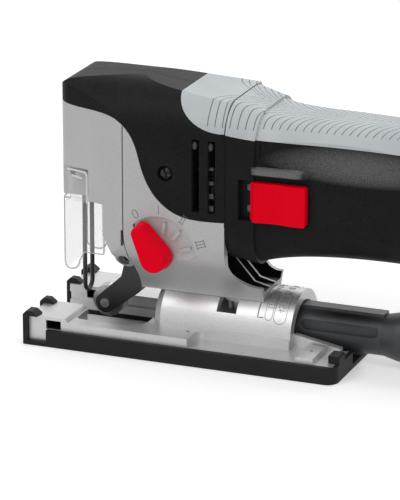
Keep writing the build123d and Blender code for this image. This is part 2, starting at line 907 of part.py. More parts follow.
with BuildPart() as clamp_screw:
    head_z = tilt_z + dome_bore - run_gap - saddle_thickness
    with BuildSketch(Plane.XY.offset(head_z)):
        with Locations((tilt_slot_x, 0)):
            Circle(clamp_head_radius)
    extrude(amount=-clamp_head_height)
    with BuildSketch(Plane.XY.offset(head_z)):
        with Locations((tilt_slot_x, 0)):
            Circle(clamp_screw_radius)
    extrude(amount=flange_top + clamp_proud - head_z)
    with BuildSketch(Plane.XY.offset(head_z - clamp_head_height)):
        with Locations((tilt_slot_x, 0)):
            RegularPolygon(clamp_socket_radius, 6)
    extrude(amount=clamp_socket_depth, mode=Mode.SUBTRACT)
finish(clamp_screw, "clamp_screw")

# Gear housing: the cast middle of the head, with its dial and its ribbed rear foot
with BuildPart() as gear_housing:
    add(head)
    extrude(cover_face(cover_gap), amount=head_half + past, both=True, mode=Mode.SUBTRACT)
    extrude(nose_face(seam), amount=head_half + past, both=True, mode=Mode.SUBTRACT)
    rod_y(knob_end_radius, knob_x, (-head_half + dial_depth, -flank_mid[0]), knob_z)
    cut_drive_space()
    cut_fork_space()
    bay_pitch = (2 * foot_half - foot_wall) / foot_bays
    bay_side = side_face(
        (
            (head_end - bay_depth, fork_space_top),
            (head_end - bay_depth, flange_top + bay_depth / 2),
            (head_end - bay_depth / 2, flange_top),
            (head_end, flange_top - bay_floor),
            (foot_end + past, flange_top - bay_floor),
            (foot_end + past, fork_space_top),
        )
    )
    for bay in range(foot_bays):
        bay_start = -foot_half + foot_wall + bay * bay_pitch
        extrude(Pos(0, bay_start, 0) * bay_side, amount=foot_wall - bay_pitch, mode=Mode.SUBTRACT)
    with BuildSketch(Plane.XZ.offset(head_half)):
        with BuildLine():
            rim = CenterArc((knob_x, knob_z), dial_radius, dial_from, dial_to - dial_from)
            far = radians(dial_to + dial_lead)
            near = radians(dial_from - dial_lead)
            Polyline(
                rim @ 1,
                (knob_x + dial_hub * cos(far), knob_z + dial_hub * sin(far)),
                (knob_x + dial_hub * cos(near), knob_z + dial_hub * sin(near)),
                rim @ 0,
            )
        make_face()
        with Locations((knob_x, knob_z)):
            Circle(dial_hub)
        for angle in mark_angles:
            spot = (mark_reach * cos(radians(angle)), mark_reach * sin(radians(angle)))
            with Locations(Location((knob_x + spot[0], knob_z + spot[1]), angle)):
                SlotOverall(mark_length, mark_width, mode=Mode.SUBTRACT)
    extrude(amount=-dial_depth, mode=Mode.SUBTRACT)
    with Locations((tilt_slot_x, 0, 0)):
        Cylinder(clamp_screw_radius + play, 2 * (flange_top + clamp_proud + run_gap), mode=Mode.SUBTRACT)
finish(gear_housing, "gear_housing")

# Nose cover in front of the seam, with the recesses for the guard's ears
with BuildPart() as nose_cover:
    add(head)
    extrude(cover_face(cover_gap), amount=head_half + past, both=True, mode=Mode.SUBTRACT)
    extrude(nose_face(0.0), amount=head_half + past, both=True, mode=Mode.INTERSECT)
    cut_drive_space()
    cut_fork_space()
    ear_half = guard_half - guard_wall - run_gap
    for low, high in both_sides((ear_half, head_half)):
        block(
            (nose_x - past, guard_ear_back + ear_room),
            (low, high),
            (nose_bottom - past, guard_ear_top + guard_swing_room),
            mode=Mode.SUBTRACT,
        )
    slit = (shoulder_x - slit_width, shoulder_x + seam)
    for low, high in both_sides((head_half - slit_depth, head_half + past)):
        block(slit, (low, high), slit_z, mode=Mode.SUBTRACT)
    for low, high in both_sides((ear_half - guard_pin_length - past, ear_half + past)):
        rod_y(guard_pin_radius + play, guard_pin_x, (low, high), guard_pin_z, mode=Mode.SUBTRACT)
finish(nose_cover, "nose_cover")

# Soft grip zones on top of the head and the handle
with BuildPart() as front_grip:
    add(head)
    over = grip_face([(front_grip_x + x, head_top - drop) for x, drop in head_grip_edge])
    extrude(over, amount=head_half + past, both=True, mode=Mode.INTERSECT)
    add(head_core, mode=Mode.SUBTRACT)
    block((head_end, foot_end), (-head_half, head_half), (0, head_top), mode=Mode.SUBTRACT)
finish(front_grip, "front_grip")

with BuildPart() as rear_grip:
    add(handle)
    edge = [(handle_x + share * handle_length, head_top - drop) for share, drop in handle_grip_edge]
    over = grip_face(edge)
    extrude(over, amount=head_half + past, both=True, mode=Mode.INTERSECT)
    add(handle_core, mode=Mode.SUBTRACT)
    cut_hollows()
finish(rear_grip, "rear_grip")

# Motor cover halves with their vent slots
halves = (("left", (-head_half - past, -seam / 2)), ("right", (seam / 2, head_half + past)))
for name, span in halves:
    with BuildPart() as motor_cover:
        add(head)
        extrude(cover_face(0.0), amount=head_half + past, both=True, mode=Mode.INTERSECT)
        block((nose_x - far_past, head_end), span, (0, head_top), mode=Mode.INTERSECT)
        cut_drive_space()
        add(front_grip.part, mode=Mode.SUBTRACT)
        for x in vent_x:
            for vent_y in both_sides((vent_inner, head_half + past)):
                block((x, x + vent_width), vent_y, vent_z, mode=Mode.SUBTRACT)
        outside = -head_half - past
        well_floor = -head_half + screw_well_depth
        rod_y(screw_well, cover_screw_x, (outside, well_floor), cover_screw_z, mode=Mode.SUBTRACT)
        shank = (outside, well_floor + screw_length)
        rod_y(screw_radius + play, cover_screw_x, shank, cover_screw_z, mode=Mode.SUBTRACT)
    finish(motor_cover, f"motor_cover_{name}")

# Finger rib over the slider, part of the left handle half
with BuildPart() as finger_rib:
    with BuildSketch(Plane.XY.offset(finger_rib_z)):
        with BuildLine():
            rib_y = -head_half
            Polyline(
                (finger_rib_x, rib_y + finger_rib_root),
                (finger_rib_x + finger_rib_lead, rib_y - finger_rib_proud),
                (finger_rib_x + finger_rib_length - 2 * finger_rib_lead, rib_y - finger_rib_proud / 2),
                (finger_rib_x + finger_rib_length, rib_y + finger_rib_root),
                close=True,
            )
        make_face()
    extrude(amount=finger_rib_height)

# Handle halves: motor bay, brush bay, bearing seat, switch bay and cord inlet
for name, span in halves:
    with BuildPart() as handle_half:
        add(handle)
        block((handle_x - past, handle_rear + past), span, (0, head_top), mode=Mode.INTERSECT)
        cut_hollows()
        add(rear_grip.part, mode=Mode.SUBTRACT)
        stator_end = stator_x + stator_length
        rod_x(stator_radius + seat_gap, (handle_x - past, stator_end), motor_z, mode=Mode.SUBTRACT)
        rod_x(brush_bay_radius, (stator_end, rear_bearing_x), motor_z, mode=Mode.SUBTRACT)
        seat = (rear_bearing_x, rear_bearing_x + bearing_width)
        rod_x(rear_bearing_radius + seat_gap, seat, motor_z, mode=Mode.SUBTRACT)
        rod_x(shaft_radius + drive_room, (seat[1], seat[1] + shaft_radius), motor_z, mode=Mode.SUBTRACT)
        block(
            (switch_x - seat_gap, switch_x + switch_size[0] + seat_gap),
            (-switch_size[1] / 2 - seat_gap, switch_size[1] / 2 + seat_gap),
            (slider_z - switch_size[2] / 2 - seat_gap, slider_z + switch_size[2] / 2 + seat_gap),
            mode=Mode.SUBTRACT,
        )
        rod_x(cord_hole, (switch_x, handle_rear + past), inlet_z, mode=Mode.SUBTRACT)
        inlet_span = (handle_rear - inlet_depth, handle_rear + past)
        rod_x(inlet_radius + seat_gap, inlet_span, inlet_z, mode=Mode.SUBTRACT)
        if name == "left":
            cut_switch_space()
            add(finger_rib.part)
        for x, z in handle_screw_spots:
            well = (handle_screw_y, head_half + past)
            rod_y(screw_well, x, well, z, mode=Mode.SUBTRACT)
            shank = (handle_screw_y - handle_screw_length, handle_screw_y)
            rod_y(screw_radius + play, x, shank, z, mode=Mode.SUBTRACT)
    finish(handle_half, f"handle_{name}")

# Screws of the covers, one group of separate solids
with BuildPart() as housing_screws:
    seat_y = -head_half + screw_well_depth
    rod_y(screw_head_radius, cover_screw_x, (seat_y - screw_head_height, seat_y), cover_screw_z)
    rod_y(screw_radius, cover_screw_x, (seat_y, seat_y + screw_length), cover_screw_z)
    for x, z in handle_screw_spots:
        rod_y(screw_head_radius, x, (handle_screw_y, handle_screw_y + screw_head_height), z)
        rod_y(screw_radius, x, (handle_screw_y - handle_screw_length, handle_screw_y), z)
finish(housing_screws, "housing_screws")

# Roller fork: two arms that bend forward from the pivot, and a tail behind it
with BuildPart() as roller_fork:
    arms = (-fork_half, fork_half)
    pivot = (pivot_x, pivot_z)
    hull_y((roller_x, roller_z), fork_end_radius, fork_bend, fork_bend_radius, arms)
    hull_y(fork_bend, fork_bend_radius, pivot, fork_eye_radius, arms)
    hull_y(pivot, fork_eye_radius, tail_end, tail_radius, (-tail_half, tail_half))
    slot_half = fork_half - fork_arm
    rod_y(roller_radius + roller_room, roller_x, (-slot_half, slot_half), roller_z, mode=Mode.SUBTRACT)
    rod_y(pivot_pin_radius + play, pivot_x, (-fork_half, fork_half), pivot_z, mode=Mode.SUBTRACT)
    rod_y(roller_pin_radius, roller_x, (-fork_half, fork_half), roller_z, mode=Mode.SUBTRACT)
finish(roller_fork, "roller_fork")

with BuildPart() as roller_pin:
    rod_y(roller_pin_radius, roller_x, (-fork_half - pin_proud, fork_half + pin_proud), roller_z)
finish(roller_pin, "roller_pin")

with BuildPart() as fork_pin:
    rod_y(pivot_pin_radius, pivot_x, (-lug_half, lug_half), pivot_z)
finish(fork_pin, "fork_pin")

# Guide roller with the groove that carries the blade's back
with BuildPart() as guide_roller:
    with BuildSketch(Plane.XY.offset(roller_z)):
        with BuildLine():
            Polyline(
                (roller_x + roller_pin_radius + play, -roller_half),
                (roller_x + roller_radius, -roller_half),
                (roller_x + roller_radius, -roller_groove),
                (roller_x + roller_radius - roller_groove, 0),
                (roller_x + roller_radius, roller_groove),
                (roller_x + roller_radius, roller_half),
                (roller_x + roller_pin_radius + play, roller_half),
                close=True,
            )
        make_face()
    revolve(axis=Axis((roller_x, 0, roller_z), (0, 1, 0)))
finish(guide_roller, "guide_roller")

# Transparent blade guard: a U in plan, cut to its side outline, on two small pins
with BuildPart() as blade_guard:
    with BuildSketch(Plane.XY.offset(guard_low)):
        with BuildLine():
            inner_half = guard_half - guard_wall
            Polyline(
                (guard_back, guard_half),
                (nose_x, guard_half),
                (nose_x, -guard_half),
                (guard_back, -guard_half),
                (guard_back, -inner_half),
                (nose_x + guard_wall, -inner_half),
                (nose_x + guard_wall, inner_half),
                (guard_back, inner_half),
                close=True,
            )
        wrap = make_face()
        fillet(wrap.vertices().group_by(Axis.X)[0], guard_corner)
        near_wall = (nose_x + guard_wall / 2, nose_x + guard_wall * 3 / 2)
        inside = wrap.vertices().filter_by_position(Axis.X, *near_wall)
        fillet(inside, guard_corner - guard_wall)
    extrude(amount=guard_ear_top - guard_low)
    with BuildSketch(Plane.XZ):
        with BuildLine():
            Polyline(
                (nose_x, guard_low),
                (nose_x + guard_leg, guard_low),
                (nose_x + guard_leg + guard_slope, guard_mid),
                (guard_back, guard_mid),
                (guard_back, guard_shelf),
                (guard_ear_back, guard_shelf),
                (guard_ear_back, guard_ear_top),
                (nose_x + guard_corner, guard_ear_top),
                (nose_x + guard_corner, guard_shelf),
                (nose_x, guard_shelf),
                close=True,
            )
        sides = make_face()
        low_corners = sides.vertices().group_by(Axis.Y)[0]
        rear_corners = sides.vertices().filter_by_position(Axis.X, guard_ear_back - past, guard_back + past)
        fillet(rear_corners, guard_round)
        fillet(low_corners, guard_lobe)
    extrude(amount=guard_half, both=True, mode=Mode.INTERSECT)
    for low, high in both_sides((ear_half - guard_pin_length, inner_half + guard_pin_root)):
        rod_y(guard_pin_radius, guard_pin_x, (low, high), guard_pin_z)
finish(blade_guard, "blade_guard")

# Wire touch guard: a steel U that hangs from the lower plunger guide
with BuildPart() as wire_guard:
    with BuildLine() as wire_path:
        turn_z = wire_bottom + wire_radius + wire_half
        left_leg = Line((wire_x, -wire_half, wire_top), (wire_x, -wire_half, turn_z))
        low_point = (wire_x, 0, turn_z - wire_half)
        ThreePointArc(left_leg @ 1, low_point, (wire_x, wire_half, turn_z))
        Line((wire_x, wire_half, turn_z), (wire_x, wire_half, wire_top))
    with BuildSketch(Plane(origin=left_leg @ 0, z_dir=(0, 0, -1))):
        Circle(wire_radius)
    sweep(path=wire_path.line)
finish(wire_guard, "wire_guard")

# Plunger, yoke and blade clamp
rise = gear_z + stroke / 2
with BuildPart() as plunger:
    half = plunger_thickness / 2
    block((plunger_x, yoke_x), (-half, half), (plunger_bottom, plunger_top))
finish(plunger, "plunger")

with BuildPart() as yoke:
    yoke_span = (yoke_x, yoke_x + yoke_thickness)
    block(yoke_span, (-yoke_half, yoke_half), (rise - yoke_height / 2, rise + yoke_height / 2))
    with BuildSketch(Plane.YZ.offset(yoke_x)):
        with Locations((0, rise)):
            SlotOverall(stroke + 2 * (crank_radius + drive_room), 2 * (crank_radius + play))
    extrude(amount=yoke_thickness, mode=Mode.SUBTRACT)
finish(yoke, "yoke")

with BuildPart() as blade_clamp:
    half = clamp_thickness / 2
    block((plunger_x, yoke_x), (-half, half), (plunger_bottom - clamp_height, plunger_bottom))
    middle = (plunger_x + yoke_x) / 2
    shank = (middle - blade_shank / 2, middle + blade_shank / 2)
    block(shank, (-clamp_slot / 2, clamp_slot / 2), (0, plunger_bottom - clamp_roof), mode=Mode.SUBTRACT)
finish(blade_clamp, "blade_clamp")

# Plunger guides: a closed block below and an open channel above
for name, z, back in (
    ("lower_guide", lower_guide_z, yoke_x + guide_wall - seat_gap),
    ("upper_guide", upper_guide_z, yoke_x - run_gap),
):
    with BuildPart() as guide:
        block((plunger_x - guide_wall + seat_gap, back), (-guide_half, guide_half), z)
        bar_half = plunger_thickness / 2 + play
        block((plunger_x - play, yoke_x + play), (-bar_half, bar_half), z, mode=Mode.SUBTRACT)
        if name == "lower_guide":
            for side in (-1, 1):
                with Locations((wire_x, side * wire_half, (z[0] + wire_top) / 2)):
                    Cylinder(wire_radius + play, wire_top - z[0], mode=Mode.SUBTRACT)
    finish(guide, name)

# Drive gear with its crank pin, on a fixed shaft
with BuildPart() as drive_gear:
    with BuildSketch(Plane.YZ.offset(gear_x)):
        with BuildLine():
            gap_phase = -90.0 + 180.0 / gear_ratio_teeth[1]
            Polyline(*gear_points(gear_ratio_teeth[1], gap_phase, gear_z), close=True)
        make_face()
        with Locations((0, gear_z)):
            Circle(gear_shaft_radius + play, mode=Mode.SUBTRACT)
    extrude(amount=gear_width)
finish(drive_gear, "drive_gear")

with BuildPart() as crank_pin:
    rod_x(crank_radius, (yoke_x + yoke_thickness + run_gap, gear_x), gear_z + stroke / 2)
finish(crank_pin, "crank_pin")

with BuildPart() as gear_shaft:
    rod_x(gear_shaft_radius, (gear_x, gear_shaft_end), gear_z)
finish(gear_shaft, "gear_shaft")

# Rotor: shaft with its pinion, armature, commutator and fan
rotor_end = rear_bearing_x + bearing_width
with BuildPart() as rotor_shaft:
    with BuildSketch(Plane.YZ.offset(gear_x)):
        with BuildLine():
            Polyline(*gear_points(gear_ratio_teeth[0], 90.0, motor_z), close=True)
        make_face()
    extrude(amount=gear_width)
    rod_x(shaft_radius, (gear_x + gear_width, rotor_end), motor_z)
finish(rotor_shaft, "rotor_shaft")

with BuildPart() as armature:
    rod_x(armature_radius, (stator_x + armature_step, stator_x + stator_length - armature_step), motor_z)
    rod_x(shaft_radius, (stator_x, stator_x + stator_length), motor_z, mode=Mode.SUBTRACT)
finish(armature, "armature")

with BuildPart() as commutator:
    rod_x(commutator_radius, (commutator_x, commutator_x + commutator_length), motor_z)
    rod_x(shaft_radius, (commutator_x, commutator_x + commutator_length), motor_z, mode=Mode.SUBTRACT)
finish(commutator, "commutator")

with BuildPart() as cooling_fan:
    rod_x(fan_radius, (fan_x + fan_width - fan_disc, fan_x + fan_width), motor_z)
    rod_x(fan_hub_radius, (fan_x, fan_x + fan_width), motor_z)
    with BuildSketch(Plane.YZ.offset(fan_x + fan_step)):
        with Locations((0, motor_z)):
            with PolarLocations((fan_radius + fan_hub_radius - fan_root) / 2, fan_blades):
                Rectangle(fan_radius - fan_hub_radius + fan_root, fan_blade_thickness)
    extrude(amount=fan_width - fan_disc - fan_step)
    rod_x(shaft_radius, (fan_x, fan_x + fan_width), motor_z, mode=Mode.SUBTRACT)
finish(cooling_fan, "cooling_fan")

# Stator, bearings and brushes
with BuildPart() as stator:
    rod_x(stator_radius, (stator_x, stator_x + stator_length), motor_z)
    rod_x(armature_radius + air_gap, (stator_x, stator_x + stator_length), motor_z, mode=Mode.SUBTRACT)
finish(stator, "stator")

for name, x, radius in (
    ("front_bearing", front_bearing_x, front_bearing_radius),
    ("rear_bearing", rear_bearing_x, rear_bearing_radius),
):
    with BuildPart() as bearing:
        rod_x(radius, (x, x + bearing_width), motor_z)
        rod_x(shaft_radius + play, (x, x + bearing_width), motor_z, mode=Mode.SUBTRACT)
    finish(bearing, name)

for name, side in (("brush_left", -1), ("brush_right", 1)):
    with BuildPart() as brush:
        near = side * (commutator_radius + brush_gap)
        far = side * (brush_bay_radius - run_gap)
        brush_x = commutator_x + (commutator_length - brush_size[0]) / 2
        block(
            (brush_x, brush_x + brush_size[0]),
            (min(near, far), max(near, far)),
            (motor_z - brush_size[1] / 2, motor_z + brush_size[1] / 2),
        )
    finish(brush, name)

# Slide switch: red slider with a dished thumb face, its link and the switch block
with BuildPart() as switch_slider:
    slider_back = -slider_floor_y - run_gap
    slider_face = slider_back - slider_proud
    slider_end = slider_x + slider_length
    with BuildSketch(Plane.XY.offset(slider_z - slider_height / 2)):
        with BuildLine():
            dish = ThreePointArc(
                (slider_x + slider_slope, slider_face),
                (slider_x + slider_length * slider_dish[0], slider_face + slider_dish_depth),
                (slider_x + slider_length * slider_dish[1], slider_face + slider_rest),
            )
            Polyline(
                dish @ 1,
                (slider_end, slider_face + slider_rest),
                (slider_end, slider_back),
                (slider_x, slider_back),
                (slider_x, slider_face + slider_slope),
                dish @ 0,
            )
        make_face()
    extrude(amount=slider_height)
    upright = switch_slider.edges().filter_by(Axis.Y)
    fillet(upright, slider_corner)
    stem_x = slider_x + stem_offset
    stem_z = (slider_z - link_height / 2, slider_z + link_height / 2)
    block((stem_x, stem_x + stem_length), (slider_back - end_room, -link_y - link_thickness), stem_z)
finish(switch_slider, "switch_slider")

with BuildPart() as switch_link:
    block((stem_x, switch_x - run_gap), (-link_y - link_thickness, -link_y), stem_z)
    block((link_foot_x, switch_x - run_gap), (-link_y, -link_foot_y - run_gap), stem_z)
finish(switch_link, "switch_link")

with BuildPart() as switch_block:
    block(
        (switch_x, switch_x + switch_size[0]),
        (-switch_size[1] / 2, switch_size[1] / 2),
        (slider_z - switch_size[2] / 2, slider_z + switch_size[2] / 2),
    )
finish(switch_block, "switch_block")

# Orbital selector knob and its shaft
with BuildPart() as orbit_knob:
    turn = radians(knob_angle)
    for level, shrink in ((0.0, 0.0), (knob_height, knob_draft)):
        tip = knob_length - knob_tip_half
        with BuildSketch(Plane.XZ.offset(head_half + run_gap + level)):
            with BuildLine():
                big = knob_end_radius - shrink
                small = knob_tip_half - shrink
                lean = asin((big - small) / tip)
                corners = []
                for radius, reach, side in ((big, 0.0, 1), (small, tip, 1), (small, tip, -1), (big, 0.0, -1)):
                    ray = turn + side * (pi / 2 - lean)
                    along = (knob_x + reach * cos(turn), knob_z + reach * sin(turn))
                    corners.append((along[0] + radius * cos(ray), along[1] + radius * sin(ray)))
                end = (knob_x - big * cos(turn), knob_z - big * sin(turn))
                point = (knob_x + (tip + small) * cos(turn), knob_z + (tip + small) * sin(turn))
                Line(corners[0], corners[1])
                ThreePointArc(corners[1], point, corners[2])
                Line(corners[2], corners[3])
                ThreePointArc(corners[3], end, corners[0])
            make_face()
    loft()
    fillet(orbit_knob.faces().sort_by(Axis.Y)[0].edges(), knob_edge)
finish(orbit_knob, "orbit_knob")

with BuildPart() as selector_shaft:
    rod_y(selector_radius, knob_x, (-head_half - run_gap, selector_end), knob_z)
finish(selector_shaft, "selector_shaft")

# Cord inlet: the ring that the cord would leave through
with BuildPart() as cord_inlet:
    rod_x(inlet_radius, (handle_rear - inlet_depth, handle_rear - inlet_lip), inlet_z)
    rod_x(inlet_radius + inlet_flange, (handle_rear - inlet_lip, handle_rear), inlet_z)
    rod_x(cord_hole, (handle_rear - inlet_depth, handle_rear), inlet_z, mode=Mode.SUBTRACT)
finish(cord_inlet, "cord_inlet")
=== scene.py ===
import math
import bmesh
import bpy
from mathutils import Matrix, Vector
from mathutils.bvhtree import BVHTree


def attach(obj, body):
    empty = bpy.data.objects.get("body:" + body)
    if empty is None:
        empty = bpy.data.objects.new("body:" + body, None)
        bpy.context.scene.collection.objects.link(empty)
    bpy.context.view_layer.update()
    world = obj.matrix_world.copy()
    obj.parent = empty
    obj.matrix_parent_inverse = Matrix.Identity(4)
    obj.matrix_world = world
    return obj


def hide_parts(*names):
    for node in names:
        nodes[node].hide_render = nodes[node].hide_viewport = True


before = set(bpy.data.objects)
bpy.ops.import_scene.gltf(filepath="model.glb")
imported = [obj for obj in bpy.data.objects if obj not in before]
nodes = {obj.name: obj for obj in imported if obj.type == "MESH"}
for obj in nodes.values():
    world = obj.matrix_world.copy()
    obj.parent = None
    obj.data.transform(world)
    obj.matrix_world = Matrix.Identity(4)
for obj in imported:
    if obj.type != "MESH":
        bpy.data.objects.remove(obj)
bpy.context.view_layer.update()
scene = bpy.context.scene
MM = 0.001


# Materials
def material(name, colour, rough, metallic=0.0):
    """A new material with its tree and shader."""
    mat = bpy.data.materials.new(name)
    mat.use_nodes = True
    shader = mat.node_tree.nodes["Principled BSDF"]
    shader.inputs["Base Color"].default_value = (*colour, 1.0)
    shader.inputs["Roughness"].default_value = rough
    shader.inputs["Metallic"].default_value = metallic
    return mat, mat.node_tree, shader


def node(tree, kind, **values):
    """A new node with values for its inputs or settings."""
    made = tree.nodes.new(kind)
    for key, value in values.items():
        if key in made.inputs:
            made.inputs[key].default_value = value
        else:
            setattr(made, key, value)
    return made


def place(tree):
    """Coordinates in the row frame, in metres."""
    return node(tree, "ShaderNodeTexCoord").outputs["Object"]


def axes(tree):
    """X, Y and Z of the row frame, in metres."""
    split = node(tree, "ShaderNodeSeparateXYZ")
    tree.links.new(place(tree), split.inputs["Vector"])
    return {axis: split.outputs[axis] for axis in "XYZ"}


def noise(tree, scale, detail, rough=0.55, stretch=None):
    """Fractal noise over the piece, stretched if a scale for each axis is given."""
    source = place(tree)
    if stretch:
        mapping = node(tree, "ShaderNodeMapping")
        mapping.inputs["Scale"].default_value = stretch
        tree.links.new(source, mapping.inputs["Vector"])
        source = mapping.outputs["Vector"]
    made = node(tree, "ShaderNodeTexNoise", Scale=scale, Detail=detail, Roughness=rough)
    tree.links.new(source, made.inputs["Vector"])
    return made.outputs["Fac"]


def ramp(tree, source, stops):
    """A colour ramp with (position, colour) stops."""
    made = node(tree, "ShaderNodeValToRGB")
    for element, (spot, colour) in zip(made.color_ramp.elements, stops):
        element.position = spot
        element.color = (*colour, 1.0)
    tree.links.new(source, made.inputs["Fac"])
    return made.outputs["Color"]


def grey(value):
    return (value, value, value)


def math_node(tree, operation, first, second=None, clamp=False):
    """A calculation with one or two sockets or numbers."""
    made = node(tree, "ShaderNodeMath", operation=operation, use_clamp=clamp)
    for index, value in enumerate((first, second)):
        if value is None:
            continue
        if isinstance(value, (int, float)):
            made.inputs[index].default_value = value
        else:
            tree.links.new(value, made.inputs[index])
    return made.outputs["Value"]


def mixed(tree, parts):
    """The sum of sources, each times its share."""
    total = None
    for source, share in parts:
        part = math_node(tree, "MULTIPLY", source, share)
        total = part if total is None else math_node(tree, "ADD", total, part)
    return total


def bump(tree, shader, height, strength, distance):
    """Adds a bump on top of those the shader has."""
    made = node(tree, "ShaderNodeBump", Strength=strength, Distance=distance)
    tree.links.new(height, made.inputs["Height"])
    old = shader.inputs["Normal"]
    if old.is_linked:
        tree.links.new(old.links[0].from_socket, made.inputs["Normal"])
    tree.links.new(made.outputs["Normal"], old)


def tinted(tree, shader, source, low, high, spots=(0.3, 0.7)):
    """Base colour between two colours, by a source."""
    colour = ramp(tree, source, ((spots[0], low), (spots[1], high)))
    tree.links.new(colour, shader.inputs["Base Color"])


def overlay(tree, shader, share, colour):
    """An even colour over the base colour, by a share."""
    blend = node(tree, "ShaderNodeMix", data_type="RGBA")
    blend.inputs["B"].default_value = (*colour, 1.0)
    base = shader.inputs["Base Color"]
    tree.links.new(base.links[0].from_socket, blend.inputs["A"])
    tree.links.new(share, blend.inputs["Factor"])
    tree.links.new(blend.outputs["Result"], base)


def rough_between(tree, shader, source, low, high):
    """Roughness between two values, by a source."""
    made = node(tree, "ShaderNodeMapRange")
    made.inputs["To Min"].default_value = low
    made.inputs["To Max"].default_value = high
    tree.links.new(source, made.inputs["Value"])
    tree.links.new(made.outputs["Result"], shader.inputs["Roughness"])


def silver_paint(name, tone, coarse, metallic, rough):
    """Metallic lacquer over a casting: fine flake, slight orange peel and soft cloudiness."""
    mat, tree, shader = material(name, grey(tone), rough, metallic)
    flake = noise(tree, scale=5200.0, detail=2.0, rough=0.7)
    cloud = noise(tree, scale=38.0, detail=3.0, rough=0.5)
    speck = noise(tree, scale=1500.0, detail=2.0, rough=0.6)
    peel = noise(tree, scale=900.0, detail=3.0, rough=0.5)
    all_three = mixed(tree, ((flake, 0.3), (speck, 0.45), (cloud, 0.25)))
    low, high = grey(tone * 0.84), (tone * 1.1, tone * 1.1, tone * 1.11)
    tinted(tree, shader, all_three, low, high, spots=(0.32, 0.68))
    rough_between(tree, shader, flake, rough - 0.07, rough + 0.09)
    bump(tree, shader, flake, strength=coarse, distance=0.00012)
    bump(tree, shader, peel, strength=coarse * 0.7, distance=0.0002)
    return mat


def moulded(
    name, tone, rough, grain, tint=(1.0, 1.0, 1.0), scale=2600.0, gloss=0.3, spread=(0.72, 1.35), sheen=0.0,
):
    """Moulded plastic with a fine spark-eroded surface."""
    mat, tree, shader = material(name, tuple(tone * t for t in tint), rough)
    spark = noise(tree, scale, detail=3.0, rough=0.65)
    cloud = noise(tree, scale=60.0, detail=3.0, rough=0.6)
    low, high = (tuple(tone * level * t for t in tint) for level in spread)
    tinted(tree, shader, mixed(tree, ((spark, 0.7), (cloud, 0.3))), low, high)
    rough_between(tree, shader, spark, rough - 0.08, rough + 0.1)
    bump(tree, shader, spark, strength=grain, distance=0.00015)
    shader.inputs["Specular IOR Level"].default_value = gloss
    shader.inputs["Sheen Weight"].default_value = sheen
    shader.inputs["Sheen Roughness"].default_value = 0.4
    return mat


def steel(name, tone, rough, stretch, metallic=1.0):
    """Machined steel with turning or grinding lines along one direction."""
    mat, tree, shader = material(name, grey(tone), rough, metallic)
    lines = noise(tree, scale=700.0, detail=4.0, rough=0.6, stretch=stretch)
    tinted(tree, shader, lines, grey(tone * 0.75), grey(tone * 1.15))
    rough_between(tree, shader, lines, rough - 0.06, rough + 0.1)
    bump(tree, shader, lines, strength=0.15, distance=0.00008)
    return mat


lacquer = {"tone": 0.5, "coarse": 0.1, "metallic": 0.35, "rough": 0.45}
silver = silver_paint("silver_lacquer", **lacquer)
housing_silver = silver_paint("housing_lacquer", **lacquer)
cast = silver_paint("cast_alloy", tone=0.62, coarse=0.22, metallic=0.7, rough=0.4)
engraved = silver_paint("engraved_line", tone=0.16, coarse=0.1, metallic=0.3, rough=0.55)
black = moulded(
    "black_plastic", tone=0.0065, rough=0.46, grain=0.8, scale=1500.0, gloss=0.09,
    spread=(0.15, 2.6), sheen=0.04,
)
shoe_black = moulded("shoe_plastic", tone=0.017, rough=0.5, grain=0.3, tint=(0.98, 1.0, 1.01), gloss=0.16)
tube_black = moulded("tube_plastic", tone=0.055, rough=0.42, grain=0.4, tint=(0.96, 1.0, 1.07), gloss=0.4)
inner_black = moulded("inner_plastic", tone=0.008, rough=0.6, grain=0.2, gloss=0.1)
# Grey of the fan, the louvres and the pads, and painted highlight on the vent heads
fan_grey_and_highlight = moulded("fan_plastic_and_highlight", tone=0.12, rough=0.5, grain=0.2)
red = moulded(
    "red_plastic", tone=1.0, rough=0.42, grain=0.03, tint=(1.0, 0.0006, 0.018), scale=1800.0, gloss=0.04,
    spread=(0.95, 1.0),
)
rubber = moulded("rubber", tone=0.02, rough=0.7, grain=0.3)
dark_steel = steel("dark_steel", tone=0.05, rough=0.38, stretch=(1.0, 1.0, 12.0), metallic=0.8)
bright_steel = steel("bright_steel", tone=0.55, rough=0.3, stretch=(1.0, 14.0, 1.0))
bronze = steel("bronze", tone=0.3, rough=0.4, stretch=(1.0, 1.0, 10.0))
copper = steel("copper", tone=0.35, rough=0.35, stretch=(14.0, 1.0, 1.0))


